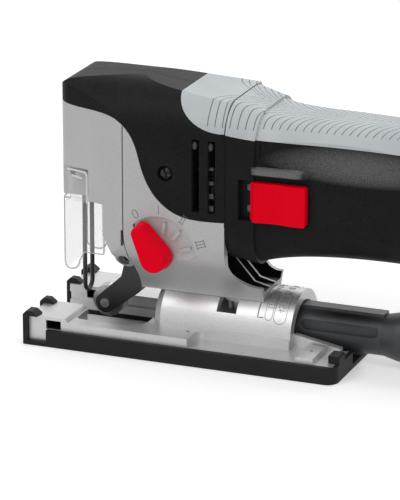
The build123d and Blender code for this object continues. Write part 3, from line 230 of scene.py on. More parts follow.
def grip_material():
    """Soft grip with thin curved grooves that stop short of its lower border, with shade painted dark into
    the grooves.
    """
    crown_half, curve = 0.021, 43.0
    pitch, line_share, border_z, lead_x, fade = 0.00385, 0.07, 0.1203, -0.047, 0.0006
    mat, tree, shader = material("grey_grip", (0.55, 0.59, 0.61), rough=0.62)
    shader.inputs["Specular IOR Level"].default_value = 0.25
    row = axes(tree)
    rise = math_node(tree, "SUBTRACT", crown_half, math_node(tree, "ABSOLUTE", row["Y"]))
    rise = math_node(tree, "MAXIMUM", rise, 0.0)
    sweep = math_node(tree, "MULTIPLY", math_node(tree, "MULTIPLY", rise, rise), curve)
    along = math_node(tree, "SUBTRACT", row["X"], sweep)
    phase = math_node(tree, "FRACT", math_node(tree, "DIVIDE", along, pitch))
    saw = math_node(tree, "ABSOLUTE", math_node(tree, "SUBTRACT", phase, 0.5))
    line = math_node(tree, "SUBTRACT", 1.0, math_node(tree, "DIVIDE", saw, line_share), clamp=True)
    border = math_node(tree, "DIVIDE", math_node(tree, "SUBTRACT", row["Z"], border_z), fade, clamp=True)
    lead = math_node(tree, "DIVIDE", math_node(tree, "SUBTRACT", along, lead_x), fade, clamp=True)
    groove_and_shade = math_node(tree, "MULTIPLY", line, math_node(tree, "MULTIPLY", border, lead))
    soft = noise(tree, scale=2200.0, detail=3.0, rough=0.6)
    cloud = noise(tree, scale=45.0, detail=2.0, rough=0.5)
    tinted(tree, shader, cloud, (0.52, 0.56, 0.58), (0.6, 0.635, 0.65))
    # Painted shade: the grooves are coloured dark
    overlay(tree, shader, groove_and_shade, (0.07, 0.08, 0.085))
    rough_between(tree, shader, soft, 0.54, 0.72)
    bump(tree, shader, math_node(tree, "SUBTRACT", 1.0, groove_and_shade), strength=0.8, distance=0.0005)
    bump(tree, shader, soft, strength=0.2, distance=0.00012)
    return mat


grip = grip_material()


def between(tree, value, low, high):
    """One where a value lies between two limits."""
    above = math_node(tree, "GREATER_THAN", value, low)
    return math_node(tree, "MULTIPLY", above, math_node(tree, "LESS_THAN", value, high))


def darken(mat, tone, boxes):
    """A dark tone over the colour in boxes of the row frame, in metres, on a lacquered piece."""
    tree = mat.node_tree
    row = axes(tree)
    inside = None
    for box in boxes:
        part = None
        for axis, (low, high) in zip("XYZ", box):
            here = between(tree, row[axis], low, high)
            part = here if part is None else math_node(tree, "MULTIPLY", part, here)
        inside = part if inside is None else math_node(tree, "MAXIMUM", inside, part)
    overlay(tree, tree.nodes["Principled BSDF"], inside, grey(tone))


def worn(mat, middle, reach, tone, flat=False):
    """A zone in X and Z with light or shade painted as another tone, broken by the grain, with a soft border
    or, if flat, a firm one.
    """
    firm_power, grain_gain = 4.0, 1.9
    tree = mat.node_tree
    row = axes(tree)
    left = 1.0
    for axis, centre, size in zip("XZ", middle, reach):
        away = math_node(tree, "DIVIDE", math_node(tree, "SUBTRACT", row[axis], centre), size)
        share = math_node(tree, "MULTIPLY", away, away)
        if flat:
            share = math_node(tree, "POWER", share, firm_power)
        left = math_node(tree, "SUBTRACT", left, share, clamp=True)
    grain = noise(tree, scale=1500.0, detail=2.0, rough=0.6)
    grain = math_node(tree, "MULTIPLY", grain, grain_gain)
    seen = math_node(tree, "MULTIPLY", left, grain, clamp=True)
    overlay(tree, tree.nodes["Principled BSDF"], seen, grey(tone))


# Painted light as a pale sheen on the handle's side and on the finger rib above the switch, painted shade as
# a dark band along the tube
worn(black, middle=(0.034, 0.107), reach=(0.05, 0.0095), tone=0.13)
worn(black, middle=(-0.008, 0.1013), reach=(0.0135, 0.0018), tone=0.2, flat=True)
worn(tube_black, middle=(0.021, 0.0236), reach=(0.02, 0.0042), tone=0.002)

# Dark inside of the rib bays at the housing's foot
bay_pitch, bay_reach = 0.0076, 0.006 / 2 + 0.0001
bay_x, bay_z = (-0.0515, -0.019), (0.0332, 0.058)
bay_middles = [bay * bay_pitch for bay in (-1, 0, 1)]
bay_boxes = [(bay_x, (middle - bay_reach, middle + bay_reach), bay_z) for middle in bay_middles]
darken(housing_silver, tone=0.012, boxes=bay_boxes)


def clear_material(name, tint, through):
    """Clear moulded guard with faint flow marks."""
    mat, tree, shader = material(name, tint, rough=0.04)
    shader.inputs["Alpha"].default_value = 1.0 - through
    shader.inputs["IOR"].default_value = 1.45
    flow = noise(tree, scale=60.0, detail=2.0, rough=0.5, stretch=(1.0, 1.0, 0.35))
    rough_between(tree, shader, flow, 0.02, 0.09)
    bump(tree, shader, flow, strength=0.08, distance=0.0008)
    return mat


clear_tint = (0.97, 0.98, 0.98)
clear = clear_material("clear_plastic", clear_tint, through=0.88)
# Grey half-clear plastic: painted shade of the guard's dark edge outline
edge_clear_shade = clear_material("clear_edge_shade", (0.6, 0.63, 0.64), through=0.35)
# Near-opaque white: painted highlights on the guard's ears and flange
rim_highlight = clear_material("clear_rim_highlight", clear_tint, through=0.15)

looks = {
    silver: ["nose_cover"],
    housing_silver: ["gear_housing"],
    cast: ["base_plate"],
    black: ["motor_cover_left", "motor_cover_right", "handle_left", "handle_right"],
    shoe_black: ["base_shoe"],
    tube_black: ["dust_tube"],
    inner_black: ["switch_block", "switch_link"],
    fan_grey_and_highlight: ["cooling_fan"],
    red: ["switch_slider", "orbit_knob"],
    rubber: ["cord_inlet"],
    grip: ["front_grip", "rear_grip"],
    clear: ["blade_guard"],
    dark_steel: [
        "housing_screws", "fork_pin", "wire_guard", "roller_fork", "blade_clamp", "brush_left", "brush_right",
    ],
    bright_steel: [
        "clamp_saddle", "clamp_screw", "gear_shaft", "stator", "front_bearing", "rear_bearing", "roller_pin",
        "guide_roller", "plunger", "yoke", "drive_gear", "crank_pin", "rotor_shaft", "armature",
        "selector_shaft",
    ],
    bronze: ["lower_guide", "upper_guide"],
    copper: ["commutator"],
}
for mat, names in looks.items():
    for name in names:
        nodes[name].data.materials.clear()
        nodes[name].data.materials.append(mat)


# Makers of detail pieces; lengths from here on are in millimetres unless metres are named
front = -136.5  # front edge of the base plate, as in the solid model
head_half = 29.5
tilt_z = 12.0


def keep(name, data, body, mat=None):
    """An object that rides on a body."""
    item = bpy.data.objects.new(name, data)
    scene.collection.objects.link(item)
    if mat:
        item.data.materials.append(mat)
    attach(item, body)
    return item


def wires(name, lines, body, mat, radius):
    """Thin round strokes through points."""
    curve = bpy.data.curves.new(name, "CURVE")
    curve.dimensions = "3D"
    curve.bevel_depth = radius * MM
    curve.bevel_resolution = 1
    curve.use_fill_caps = True
    for points in lines:
        spline = curve.splines.new("POLY")
        spline.points.add(len(points) - 1)
        for spot, point in zip(spline.points, points):
            spot.co = (*[v * MM for v in point], 1.0)
    return keep(name, curve, body, mat)


def joined(name, parts, body, mat):
    """One mesh from (mesh, matrix) pairs."""
    work = bmesh.new()
    for mesh, matrix in parts:
        copy = mesh.copy()
        copy.transform(matrix)
        work.from_mesh(copy)
        bpy.data.meshes.remove(copy)
    return keep(name, mesh_of(work, name), body, mat)


def mesh_of(work, name):
    """A mesh from a bmesh, which is freed."""
    mesh = bpy.data.meshes.new(name)
    work.to_mesh(mesh)
    work.free()
    return mesh


def corners_of(work, points):
    """New corners of a bmesh at points."""
    return [work.verts.new((x * MM, y * MM, z * MM)) for x, y, z in points]


def band(work, lower, upper):
    """Faces between two rings of corners."""
    for index in range(len(lower)):
        after = (index + 1) % len(lower)
        work.faces.new((lower[index], lower[after], upper[after], upper[index]))


def at(x, y, z):
    return Matrix.Translation((x * MM, y * MM, z * MM))


def arc(x, y, radius, start, end, steps=10):
    """Points along an arc, with its angles in degrees."""
    turns = [math.radians(start + (end - start) * i / steps) for i in range(steps + 1)]
    return [(x + radius * math.cos(t), y + radius * math.sin(t)) for t in turns]


def oval(width, height, count=20):
    turns = [2 * math.pi * i / count for i in range(count + 1)]
    return [(width / 2 * math.cos(t), height / 2 * math.sin(t)) for t in turns]


def both_sides(lines):
    """Lines with their mirror images across the XZ plane."""
    return lines + [[(x, -y, z) for x, y, z in line] for line in lines]


def targets(names):
    """Ray targets from the meshes of CAD pieces."""
    trees = []
    for name in names:
        mesh = nodes[name].data
        points = [vertex.co for vertex in mesh.vertices]
        trees.append(BVHTree.FromPolygons(points, [face.vertices[:] for face in mesh.polygons]))
    return trees


def first_hit(trees, start, way):
    """The nearest place where a ray meets the pieces, in metres."""
    best, least = None, None
    for tree in trees:
        spot, _, _, away = tree.ray_cast(start, way)
        if spot and (least is None or away < least):
            best, least = spot, away
    return best


# Numbers of the selector dial
knob_x, knob_z, dial_radius = front + 67.0, 52.0, 23.6
number_height, number_pitch, number_serif = 4.4, 1.5, 0.7


def roman(count):
    """A Roman number of bars, with serifs from two on."""
    half, top = (count - 1) * number_pitch / 2, number_height / 2
    places = [i * number_pitch - half for i in range(count)]
    bars = [[(place_x, -top), (place_x, top)] for place_x in places]
    if count > 1:
        for level in (-top, top):
            bars.append([(-half - number_serif, level), (half + number_serif, level)])
    return bars


zero = [oval(2.7, number_height)]
dial_marks = ((122.0, zero), (90.0, roman(1)), (57.0, roman(2)), (20.5, roman(3)))  # degrees, strokes
dial_lines = []
for angle, shapes in dial_marks:
    turn = math.radians(angle)
    for shape in shapes:
        line = []
        for u, v in shape:
            out = dial_radius + v
            x = knob_x + out * math.cos(turn) + u * math.sin(turn)
            z = knob_z + out * math.sin(turn) - u * math.cos(turn)
            line.append((x, -head_half, z))
        dial_lines.append(line)
wires("dial_numbers", dial_lines, "housing", engraved, radius=0.16)


# Bevel scale on the dome's collar
def on_dome(x, angle, radius):
    """A place around the tilt axis, with its angle in degrees from the top."""
    turn = math.radians(angle)
    return (x, radius * math.sin(turn), tilt_z + radius * math.cos(turn))


dome_radius, collar_radius, dome_end = 20.0, 20.8, front + 133.0
tick_x, tick_degrees, short_tick, long_tick = dome_end - 13.8, 5.0, 1.9, 3.0
digit_x, digit_width, digit_height, digit_pitch = dome_end - 6.4, 2.4, 3.4, 2.3
digits = {
    "0": oval(0.62, 1.0, 14),
    "1": [(-0.15, 0.3), (0.05, 0.5), (0.05, -0.5)],
    "3": [
        (-0.28, 0.5), (0.28, 0.5), (-0.02, 0.1), (0.2, 0.05),
        (0.3, -0.2), (0.15, -0.47), (-0.15, -0.5), (-0.3, -0.38),
    ],
    "4": [(0.15, -0.5), (0.15, 0.5), (-0.3, -0.2), (0.32, -0.2)],
    "5": [
        (0.26, 0.5), (-0.22, 0.5), (-0.26, 0.06), (0.05, 0.12),
        (0.3, -0.15), (0.18, -0.46), (-0.1, -0.5), (-0.3, -0.4),
    ],
}
scale_lines = []
for step in range(-9, 10):
    length = long_tick if step % 3 == 0 else short_tick
    scale_lines.append([on_dome(x, step * tick_degrees, collar_radius) for x in (tick_x, tick_x + length)])
for value in range(-45, 46, 15):
    word = str(abs(value))
    for order, digit in enumerate(word):
        shift = (order - (len(word) - 1) / 2) * digit_pitch
        line = []
        for u, v in digits[digit]:
            across = math.degrees((u * digit_width + shift) / collar_radius)
            line.append(on_dome(digit_x + v * digit_height, value + across, collar_radius))
        scale_lines.append(line)
wires("bevel_scale", scale_lines, "base", engraved, radius=0.15)

# Index bracket on the dome in front of the scale
index_x, foot_x = dome_end - 18.4, dome_end - 15.4
bracket = [on_dome(index_x, angle, dome_radius) for angle in range(-24, -61, -4)]
bracket.append(on_dome(foot_x, -60.0, dome_radius))
wires("index_mark", [bracket], "base", engraved, radius=0.26)

# Ribs of the slider's thumb face, on the arc of its dish
slider_x, slider_face, slider_z = front + 114.8, -31.8, 85.5
dish = [
    (slider_x + 3.0, slider_face), (slider_x + 11.6, slider_face + 1.5), (slider_x + 20.3, slider_face + 0.6),
]
rib_count, rib_start, rib_pitch, rib_half, rib_sunk = 12, slider_x + 4.6, 1.15, 8.6, 0.14


def circle_through(a, b, c):
    """Centre and radius of the circle through three points."""
    d = 2 * (a[0] * (b[1] - c[1]) + b[0] * (c[1] - a[1]) + c[0] * (a[1] - b[1]))
    squares = [p[0] ** 2 + p[1] ** 2 for p in (a, b, c)]
    x = (squares[0] * (b[1] - c[1]) + squares[1] * (c[1] - a[1]) + squares[2] * (a[1] - b[1])) / d
    y = (squares[0] * (c[0] - b[0]) + squares[1] * (a[0] - c[0]) + squares[2] * (b[0] - a[0])) / d
    return x, y, math.hypot(a[0] - x, a[1] - y)


arc_x, arc_y, arc_r = circle_through(*dish)
rib_lines = []
for index in range(rib_count):
    x = rib_start + index * rib_pitch
    y = arc_y + math.sqrt(arc_r ** 2 - (x - arc_x) ** 2) + rib_sunk
    rib_lines.append([(x, y, slider_z - rib_half), (x, y, slider_z + rib_half)])
wires("slider_ribs", rib_lines, "slider", red, radius=0.3)


# Cross-head screws in the wells
def screw_mesh():
    """A domed cross-head, axis +Z, seat at Z = 0."""
    middle_z = 0.4
    profile = [(0.9, 1.75), (1.9, 1.62), (2.7, 1.3), (3.15, 0.8), (3.3, 0.3), (3.3, 0.0)]
    cross_reach, cross_deep, cross_arm = 2.0, 1.15, 0.93
    steps = 40
    work = bmesh.new()
    middle = corners_of(work, [(0.0, 0.0, middle_z)])[0]
    rings = []
    for radius, z in profile:
        ring = []
        for step in range(steps):
            turn = 2 * math.pi * step / steps
            arm = max(abs(math.cos(turn)), abs(math.sin(turn)))
            deep = cross_deep if radius < cross_reach and arm > cross_arm else 0.0
            ring.append((radius * math.cos(turn), radius * math.sin(turn), z - deep))
        rings.append(corners_of(work, ring))
    for step in range(steps):
        work.faces.new((middle, rings[0][step], rings[0][(step + 1) % steps]))
    for inner, outer in zip(rings, rings[1:]):
        for step in range(steps):
            after = (step + 1) % steps
            work.faces.new((inner[step], outer[step], outer[after], inner[after]))
    return mesh_of(work, "screw_form")


head = screw_mesh()
left_side = Matrix.Rotation(math.radians(90), 4, "X")
right_side = Matrix.Rotation(math.radians(-90), 4, "X")
cover_well, handle_seat = (front + 70.3, -head_half + 2.6, 94.4), 16.0
handle_wells = ((front + 110.0, 58.0), (front + 165.0, 64.0), (front + 240.0, 66.0))
cover_spin, first_spin, spin_step = 20.0, 25.0, 40.0
spots = [(cover_well, left_side, cover_spin)]
for order, (x, z) in enumerate(handle_wells):
    spots.append(((x, handle_seat, z), right_side, first_spin + spin_step * order))
placed = []
for spot, facing, spin in spots:
    placed.append((head, at(*spot) @ facing @ Matrix.Rotation(math.radians(spin), 4, "Z")))
screws = joined("cross_screws", placed, "housing", dark_steel)
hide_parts("housing_screws")


# Base casting: the CAD plate with one more opening in the deck, beside the near prong
def prism(name, outline, low, high):
    """A closed prism along Z."""
    work = bmesh.new()
    bottom, top = (corners_of(work, [(x, y, level) for x, y in outline]) for level in (low, high))
    work.faces.new(bottom)
    work.faces.new(top)
    band(work, bottom, top)
    bmesh.ops.recalc_face_normals(work, faces=work.faces)
    return mesh_of(work, name)


def less(name, source, cutters, body, mat):
    """A CAD piece's mesh less some solids, as a new piece; each cutter brings the material of its cut."""
    weld, crease, even_weight = 0.000002, 20.0, 100
    work = bmesh.new()
    work.from_mesh(nodes[source].data)
    bmesh.ops.remove_doubles(work, verts=work.verts, dist=weld)
    mesh = mesh_of(work, name)
    for layer in ("custom_normal", "sharp_edge", "sharp_face"):
        if layer in mesh.attributes:
            mesh.attributes.remove(mesh.attributes[layer])
    mesh.materials.append(mat)
    blank = bpy.data.objects.new("blank", mesh)
    scene.collection.objects.link(blank)
    tools = []
    for cutter, cut_mat in cutters:
        cutter.materials.append(cut_mat)
        tool = bpy.data.objects.new("cutter", cutter)
        scene.collection.objects.link(tool)
        tools.append(tool)
        cut = blank.modifiers.new("cut", "BOOLEAN")
        cut.operation = "DIFFERENCE"
        cut.solver = "EXACT"
        cut.material_mode = "TRANSFER"
        cut.object = tool
    graph = bpy.context.evaluated_depsgraph_get()
    baked = bpy.data.meshes.new_from_object(blank.evaluated_get(graph))
    baked.name = name
    for spare in (blank, *tools):
        bpy.data.objects.remove(spare)
    baked.shade_smooth()
    baked.set_sharp_from_angle(angle=math.radians(crease))
    item = keep(name, baked, body)
    even = item.modifiers.new("even", "WEIGHTED_NORMAL")
    even.keep_sharp = True
    even.weight = even_weight
    return item


gap_front, gap_back, gap_inner, gap_outer = front + 22.0, front + 57.6, 12.0, 29.5
back_round, front_round, gap_low, gap_high = 9.0, 3.0, 2.0, 30.0
gap = [(gap_front, gap_inner), (gap_back, gap_inner)]
gap += arc(gap_back - back_round, gap_outer - back_round, back_round, 0.0, 90.0)
gap += arc(gap_front + front_round, gap_outer - front_round, front_round, 90.0, 180.0)
near_gap = prism("near_gap", [(x, -y) for x, y in gap], gap_low, gap_high)
casting = less("base_casting", "base_plate", [(near_gap, cast)], "base", cast)
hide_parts("base_plate")

# Gear housing: the CAD casting with its outer rib bays opened to thin side walls and its ribs cut back
bay_inside, bay_rear, bay_least = 10.4, front + 116.2, 0.4
bay_probe_x, bay_probe_y = front + 91.5, 80.0
bay_floor = ((33.5, front + 101.2), (36.4, front + 93.5), (44.4, front + 85.5), (58.0, front + 85.5))
bay_levels = 8
(wall_low, wall_thin), (wall_high, wall_thick) = (44.0, 2.6), (58.0, 5.2)
housing_target = targets(["gear_housing"])


def flank_bay(side):
    """A bay that follows the flared side of the housing, with a wall that grows towards its top."""
    work = bmesh.new()
    rings = []
    for (low, low_x), (high, high_x) in zip(bay_floor, bay_floor[1:]):
        for level in range(bay_levels):
            share = level / (bay_levels - 1)
            z = low + (high - low) * share
            x = low_x + (high_x - low_x) * share
            start = Vector((bay_probe_x * MM, side * bay_probe_y * MM, z * MM))
            wide = abs(first_hit(housing_target, start, Vector((0.0, -side, 0.0))).y) / MM
            rise = min(max((z - wall_low) / (wall_high - wall_low), 0.0), 1.0)
            out = max(wide - wall_thin - (wall_thick - wall_thin) * rise, bay_inside + bay_least)
            ring = ((x, bay_inside), (bay_rear, bay_inside), (bay_rear, out), (x, out))
            rings.append(corners_of(work, [(u, side * v, z) for u, v in ring]))
    work.faces.new(rings[0])
    work.faces.new(rings[-1])
    for lower_ring, upper_ring in zip(rings, rings[1:]):
        band(work, lower_ring, upper_ring)
    bmesh.ops.remove_doubles(work, verts=work.verts, dist=0.000001)
    bmesh.ops.recalc_face_normals(work, faces=work.faces)
    return mesh_of(work, "flank_bay")


rib_line = ((88.1, 58.0), (99.2, 45.7), (108.1, 35.8), (114.6, 34.2), (116.2, 34.0), (116.2, 58.0))
rib_reach = 10.45
rib_cut = prism("rib_cut", [(front + x, z) for x, z in rib_line], -rib_reach, rib_reach)
rib_cut.transform(Matrix.Rotation(math.pi / 2, 4, "X"))
bays = [(rib_cut, housing_silver)] + [(flank_bay(side), inner_black) for side in (-1, 1)]
housing = less("housing_casting", "gear_housing", bays, "housing", housing_silver)
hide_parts("gear_housing")


# Painted shade in the fence slots: a dark sleeve inside each
def lining(x, y, z, thick):
    """A rectangular sleeve along Y, open at both ends."""
    work = bmesh.new()
    rings = []
    for inset in (0.0, thick):
        left, right, low, high = x[0] + inset, x[1] - inset, z[0] + inset, z[1] - inset
        for end in y:
            ring = ((left, low), (right, low), (right, high), (left, high))
            rings.append(corners_of(work, [(u, end, v) for u, v in ring]))
    for first, second in ((0, 1), (2, 3), (0, 2), (1, 3)):
        band(work, rings[first], rings[second])
    bmesh.ops.recalc_face_normals(work, faces=work.faces)
    return mesh_of(work, "sleeve")


slot_x, slot_z, sleeve_wall = (front + 9.35, front + 17.25), (8.75, 13.35), 0.25
sleeve_spans = ((-36.6, -13.8), (13.8, 36.6))
sleeves = [(lining(slot_x, span, slot_z, sleeve_wall), Matrix.Identity(4)) for span in sleeve_spans]
slot_shade = joined("slot_shade", sleeves, "base", inner_black)


# Louvre bars and rounded heads inside the side vents; the heads' grey is a painted highlight on the vents'
# lit rounded ends
def pillow(size, bend):
    """A rounded block as a superellipsoid."""
    def power(value):
        return math.copysign(abs(value) ** (2.0 / bend), value)

    around, levels = 20, 12
    work = bmesh.new()
    rows = []
    for j in range(levels + 1):
        v = -math.pi / 2 + math.pi * j / levels
        row = []
        for i in range(around):
            u = 2 * math.pi * i / around
            x = size[0] / 2 * power(math.cos(v)) * power(math.cos(u))
            y = size[1] / 2 * power(math.cos(v)) * power(math.sin(u))
            row.append((x, y, size[2] / 2 * power(math.sin(v))))
        rows.append(corners_of(work, row))
    for lower_row, upper_row in zip(rows, rows[1:]):
        band(work, lower_row, upper_row)
    bmesh.ops.remove_doubles(work, verts=work.verts, dist=0.00001)
    mesh = mesh_of(work, "pillow")
    mesh.shade_smooth()
    return mesh


vent_x, vent_y = (front + 84.4, front + 92.8), 26.6
bar_x, bar_wide, bar_deep = vent_x[1] + 0.4, 3.6, 1.4
bar_rows = ((98.6, 1.5), (91.4, 1.9), (84.8, 2.6), (78.4, 2.9))  # height above the floor, thickness
head_shift, head_z, head_size = 0.3, 109.8, (3.5, 3.0, 4.6)
bars, heads = [], []
for side in (-1, 1):
    for z, thick in bar_rows:
        bars.append((pillow((bar_wide, bar_deep, thick), bend=9.0), at(bar_x, side * vent_y, z)))
    for x in vent_x:
        heads.append((pillow(head_size, bend=2.2), at(x + head_shift, side * vent_y, head_z)))
louvres = joined("vent_louvres", bars, "housing", fan_grey_and_highlight)
vent_heads_highlight = joined("vent_heads_highlight", heads, "housing", fan_grey_and_highlight)

# Slide pads on the floor of the switch opening
pad_x, pad_y, pad_z, pad_size = front + 113.6, -26.04, (slider_z - 4.8, slider_z + 6.0), (2.6, 0.26, 3.2)
pads = [(pillow(pad_size, bend=6.0), at(pad_x, pad_y, z)) for z in pad_z]
slide_pads = joined("slide_pads", pads, "housing", fan_grey_and_highlight)

# Frame lines of the bevel scale, each with a round end
frame_spans = ((dome_end - 14.4, dome_end - 10.6), (dome_end - 9.8, dome_end - 3.4))
frame_end, end_steps = 58.0, 12
angles_out, angles_back = range(20, 58, 3), range(55, 17, -3)
frame_lines = []
for low, high in frame_spans:
    half = (high - low) / 2
    for side in (-1, 1):
        line = [on_dome(low, side * angle, collar_radius) for angle in angles_out]
        for step in range(end_steps + 1):
            turn = math.pi * step / end_steps
            across = frame_end + math.degrees(half * math.sin(turn) / collar_radius)
            line.append(on_dome((low + high) / 2 - half * math.cos(turn), side * across, collar_radius))
        line += [on_dome(high, side * angle, collar_radius) for angle in angles_back]
        frame_lines.append(line)
wires("scale_frame", frame_lines, "base", engraved, radius=0.12)

# Moulded bead along the lower edges, the front corners and the shelf of the clear guard; its grey is painted
# shade of the edges' dark outline
guard_front, guard_half, guard_turn = front + 9.4, 17.25, 5.0
guard_rear, flange_low, shelf_z = front + 32.3, 46.0, 72.0
step_x, step_z, lobe_rear, lobe_low, lobe_round = front + 21.6, 44.3, front + 19.1, 34.9, 4.6
bead_front, shelf_steps = guard_front + 0.3, 6
corner_x, corner_y, corner_z = guard_front + 0.35, -guard_half + guard_turn - 1.9, (39.5, 71.6)


def guard_side(x):
    """Half-width of the guard's outer face at a place along X."""
    short = max(guard_turn - (x - guard_front), 0.0)
    return guard_half - guard_turn + math.sqrt(max(guard_turn ** 2 - short ** 2, 0.0))


lower = [(guard_rear, flange_low), (guard_rear, step_z), (step_x, step_z)]
lower += arc(lobe_rear - lobe_round, lobe_low + lobe_round, lobe_round, 0.0, -90.0, steps=8)
lower += arc(bead_front + lobe_round, lobe_low + lobe_round, lobe_round, -90.0, -180.0, steps=8)
near_edge = [(x, -guard_side(x), z) for x, z in lower]
corner = [(corner_x, corner_y, z) for z in corner_z]
shelf_x = [guard_front + guard_turn * (1 - t / shelf_steps) for t in range(shelf_steps + 1)]
near_shelf = [(max(x, bead_front), -guard_side(x), shelf_z) for x in shelf_x]
far_shelf = [(x, -y, z) for x, y, z in near_shelf]
bead = both_sides([near_edge, corner]) + [near_shelf + far_shelf[::-1]]
wires("guard_bead", bead, "guard", edge_clear_shade, radius=0.4)

# Raised ears of the guard, flush with the nose cover, with painted highlights as pale strokes along the rim
# and across the ear beside the pin
ear_low, ear_high, ear_from, ear_to, ear_round = 72.3, 88.2, front + 14.4, front + 26.2, 1.8
ear_foot, ear_wall, ear_taper = 17.6, 1.0, 8.0
slope_x, slope_y, slope = front + 16.0, 20.6, 0.29
flange_y, flange_round = -17.3, 1.8


def ear_face(x):
    """The ear's outer face, on the slope of the nose cover's side."""
    return slope_y + slope * (x - slope_x)


ear = [(ear_from, ear_low), (ear_from, ear_high)]
ear += arc(ear_to - ear_round, ear_high - ear_round, ear_round, 90.0, 0.0, steps=6)
ear.append((ear_to, ear_low))


def ear_mesh(side):
    """A cap over the ear: outer plate and walls, open towards the guard."""
    work = bmesh.new()
    middle_x, middle_z = (ear_from + ear_to) / 2, (ear_low + ear_high) / 2
    rings = []
    for thin in (0.0, ear_wall):
        share = 1.0 - thin / ear_taper
        loop = [(middle_x + (x - middle_x) * share, middle_z + (z - middle_z) * share) for x, z in ear]
        rings.append(corners_of(work, [(x, side * ear_foot, z) for x, z in loop]))
        rings.append(corners_of(work, [(x, side * (ear_face(x) - thin), z) for x, z in loop]))
    foot, face, inner_foot, inner_face = rings
    work.faces.new(face)
    work.faces.new(inner_face)
    for first, second in ((foot, face), (inner_foot, inner_face), (foot, inner_foot)):
        band(work, first, second)
    bmesh.ops.recalc_face_normals(work, faces=work.faces)
    return mesh_of(work, "ear")


ears = joined("guard_ears", [(ear_mesh(side), Matrix.Identity(4)) for side in (-1, 1)], "guard", clear)
rim = [(x, -ear_face(x), z) for x, z in ear[1:]]
flange = [(ear_to, shelf_z)]
flange += arc(guard_rear - flange_round, shelf_z - flange_round, flange_round, 90.0, 0.0, steps=6)
flange.append((guard_rear, flange_low))
rim_lines = both_sides([rim, [(x, flange_y, z) for x, z in flange]])
wires("guard_rim_highlight", rim_lines, "guard", rim_highlight, radius=0.5)
ear_highlight_ends = ((front + 17.2, 85.3), (front + 23.4, 84.7))
ear_highlight = [(x, -ear_face(x), z) for x, z in ear_highlight_ends]
wires("guard_ear_highlight", both_sides([ear_highlight]), "guard", rim_highlight, radius=0.5)

# Dark parting lines behind the nose cover, and around the tool between motor covers and handle
seam_side = [
    (front + 47.85, -29.45, 115.8), (front + 47.85, -29.45, 62.0), (front + 48.05, -29.45, 58.0),
    (front + 48.7, -29.0, 54.0), (front + 49.4, -27.7, 50.0), (front + 49.7, -26.2, 47.6),
]
wires("nose_parting", both_sides([seam_side]), "housing", inner_black, radius=0.26)
handle_targets = targets(["rear_grip", "handle_left", "handle_right"])
parting_x, parting_z, parting_ahead, parting_range = front + 101.9, 95.0, 0.25, 100.0
parting_angles = range(-130, 131, 4)
ring = []
for angle in parting_angles:
    turn = math.radians(angle)
    way = Vector((0.0, math.sin(turn), -math.cos(turn)))
    start = Vector((parting_x * MM, 0.0, parting_z * MM)) - way * (parting_range * MM)
    spot = first_hit(handle_targets, start, way)
    if spot:
        ring.append((parting_x - parting_ahead, spot.y / MM, spot.z / MM))
wires("cover_parting", [ring], "housing", inner_black, radius=0.26)

# Camera at the photograph's angle, in metres
azimuth, elevation, distance = math.radians(21.6), math.radians(18.4), 1.7
lens_per_metre = 144.0
target = Vector((-0.0593, 0.0, 0.0469))
back = Vector((
    math.sin(azimuth) * math.cos(elevation),
    -math.cos(azimuth) * math.cos(elevation),
    math.sin(elevation),
))
camera = bpy.data.objects.new("camera", bpy.data.cameras.new("camera"))
camera.data.lens = lens_per_metre * distance
camera.data.sensor_width = 36.0
camera.location = target + back * distance
camera.rotation_mode = "QUATERNION"
camera.rotation_quaternion = (-back).to_track_quat("-Z", "Y")
camera.data.clip_end = 20.0
scene.collection.objects.link(camera)
scene.camera = camera


# Floor, world and soft studio light, in metres
def seen_directly(tree):
    """One for rays from the camera, from gloss and through clear pieces."""
    path = node(tree, "ShaderNodeLightPath")
    seen = math_node(tree, "MAXIMUM", path.outputs["Is Camera Ray"], path.outputs["Is Glossy Ray"])
    return math_node(tree, "MAXIMUM", seen, path.outputs["Is Transmission Ray"])


def mixed_shader(tree, share, first, second):
    """One shader where the share is none, the other where it is one."""
    made = node(tree, "ShaderNodeMixShader")
    tree.links.new(share, made.inputs["Fac"])
    tree.links.new(first, made.inputs[1])
    tree.links.new(second, made.inputs[2])
    return made.outputs["Shader"]


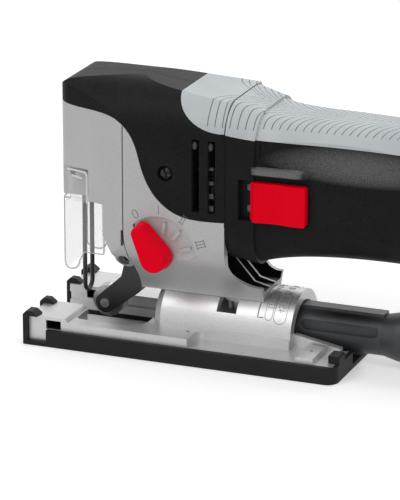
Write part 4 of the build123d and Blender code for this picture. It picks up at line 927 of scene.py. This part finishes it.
def white_floor():
    """A white floor that glows beside the tool, stays dark under it as real shade deepened into a painted
    shadow where the glow is withheld, and fades to white far away.
    """
    footprint, footprint_edge = (("X", -0.056, 0.078), ("Y", 0.0, 0.037)), 0.004
    glow_strength, white_from, white_over = 0.42, 0.35, 0.6
    mat, tree, shader = material("floor", grey(0.85), rough=0.9)
    shader.inputs["Specular IOR Level"].default_value = 0.0
    tinted(tree, shader, noise(tree, scale=3.0, detail=2.0), grey(0.84), grey(0.87))
    row = axes(tree)
    beside = []
    for axis, middle, half in footprint:
        off = math_node(tree, "ABSOLUTE", math_node(tree, "SUBTRACT", row[axis], middle))
        beside.append(math_node(tree, "SUBTRACT", off, half))
    # Painted shadow: no glow over the tool's footprint
    outside_painted_shadow = math_node(tree, "DIVIDE", math_node(tree, "MAXIMUM", *beside), footprint_edge, clamp=True)
    glow = node(tree, "ShaderNodeEmission")
    tree.links.new(math_node(tree, "MULTIPLY", outside_painted_shadow, glow_strength), glow.inputs["Strength"])
    lit = node(tree, "ShaderNodeAddShader")
    tree.links.new(shader.outputs["BSDF"], lit.inputs[0])
    tree.links.new(glow.outputs["Emission"], lit.inputs[1])
    near = mixed_shader(tree, seen_directly(tree), shader.outputs["BSDF"], lit.outputs["Shader"])
    away = node(tree, "ShaderNodeVectorMath", operation="LENGTH")
    tree.links.new(place(tree), away.inputs[0])
    past = math_node(tree, "SUBTRACT", away.outputs["Value"], white_from)
    far = math_node(tree, "DIVIDE", past, white_over, clamp=True)
    white = node(tree, "ShaderNodeEmission", Strength=1.0).outputs["Emission"]
    faded = mixed_shader(tree, math_node(tree, "MULTIPLY", far, seen_directly(tree)), near, white)
    tree.links.new(faded, tree.nodes["Material Output"].inputs["Surface"])
    return mat


floor_reach, floor_drop = 6.0, 0.0002
floor_corners = [(x * floor_reach, y * floor_reach, 0) for x, y in ((-1, -1), (1, -1), (1, 1), (-1, 1))]
floor_mesh = bpy.data.meshes.new("floor")
floor_mesh.from_pydata(floor_corners, [], [(0, 1, 2, 3)])
floor_mesh.materials.append(white_floor())
floor = bpy.data.objects.new("floor", floor_mesh)
floor.location.z = -floor_drop
scene.collection.objects.link(floor)

fill_level, seen_level = 0.32, 1.0
world = bpy.data.worlds.new("studio")
scene.world = world
world.use_nodes = True
background = world.node_tree.nodes["Background"]
background.inputs["Color"].default_value = (1.0, 1.0, 1.0, 1.0)
level = node(world.node_tree, "ShaderNodeMapRange")
level.inputs["To Min"].default_value = fill_level
level.inputs["To Max"].default_value = seen_level
world.node_tree.links.new(seen_directly(world.node_tree), level.inputs["Value"])
world.node_tree.links.new(level.outputs["Result"], background.inputs["Strength"])


def softbox(name, spot, aim, size, power):
    """A rectangular lamp that points at a place."""
    lamp = bpy.data.lights.new(name, "AREA")
    lamp.shape = "RECTANGLE"
    lamp.size, lamp.size_y = size
    lamp.energy = power
    holder = bpy.data.objects.new(name, lamp)
    holder.location = spot
    holder.rotation_mode = "QUATERNION"
    holder.rotation_quaternion = (Vector(aim) - Vector(spot)).to_track_quat("-Z", "Y")
    scene.collection.objects.link(holder)


softbox("key_light", spot=(-0.5, -0.75, 1.05), aim=(-0.03, 0, 0.05), size=(0.7, 0.7), power=5.0)
softbox("top_light", spot=(0.15, 0.15, 1.2), aim=(0, 0, 0.05), size=(0.9, 0.6), power=3.0)
softbox("fill_light", spot=(1.1, -0.7, 0.5), aim=(0, 0, 0.07), size=(0.6, 0.8), power=2.0)
softbox("back_light", spot=(0.1, 1.0, 0.8), aim=(0, 0, 0.07), size=(1.2, 0.5), power=4.0)

scene.view_settings.view_transform = "Standard"
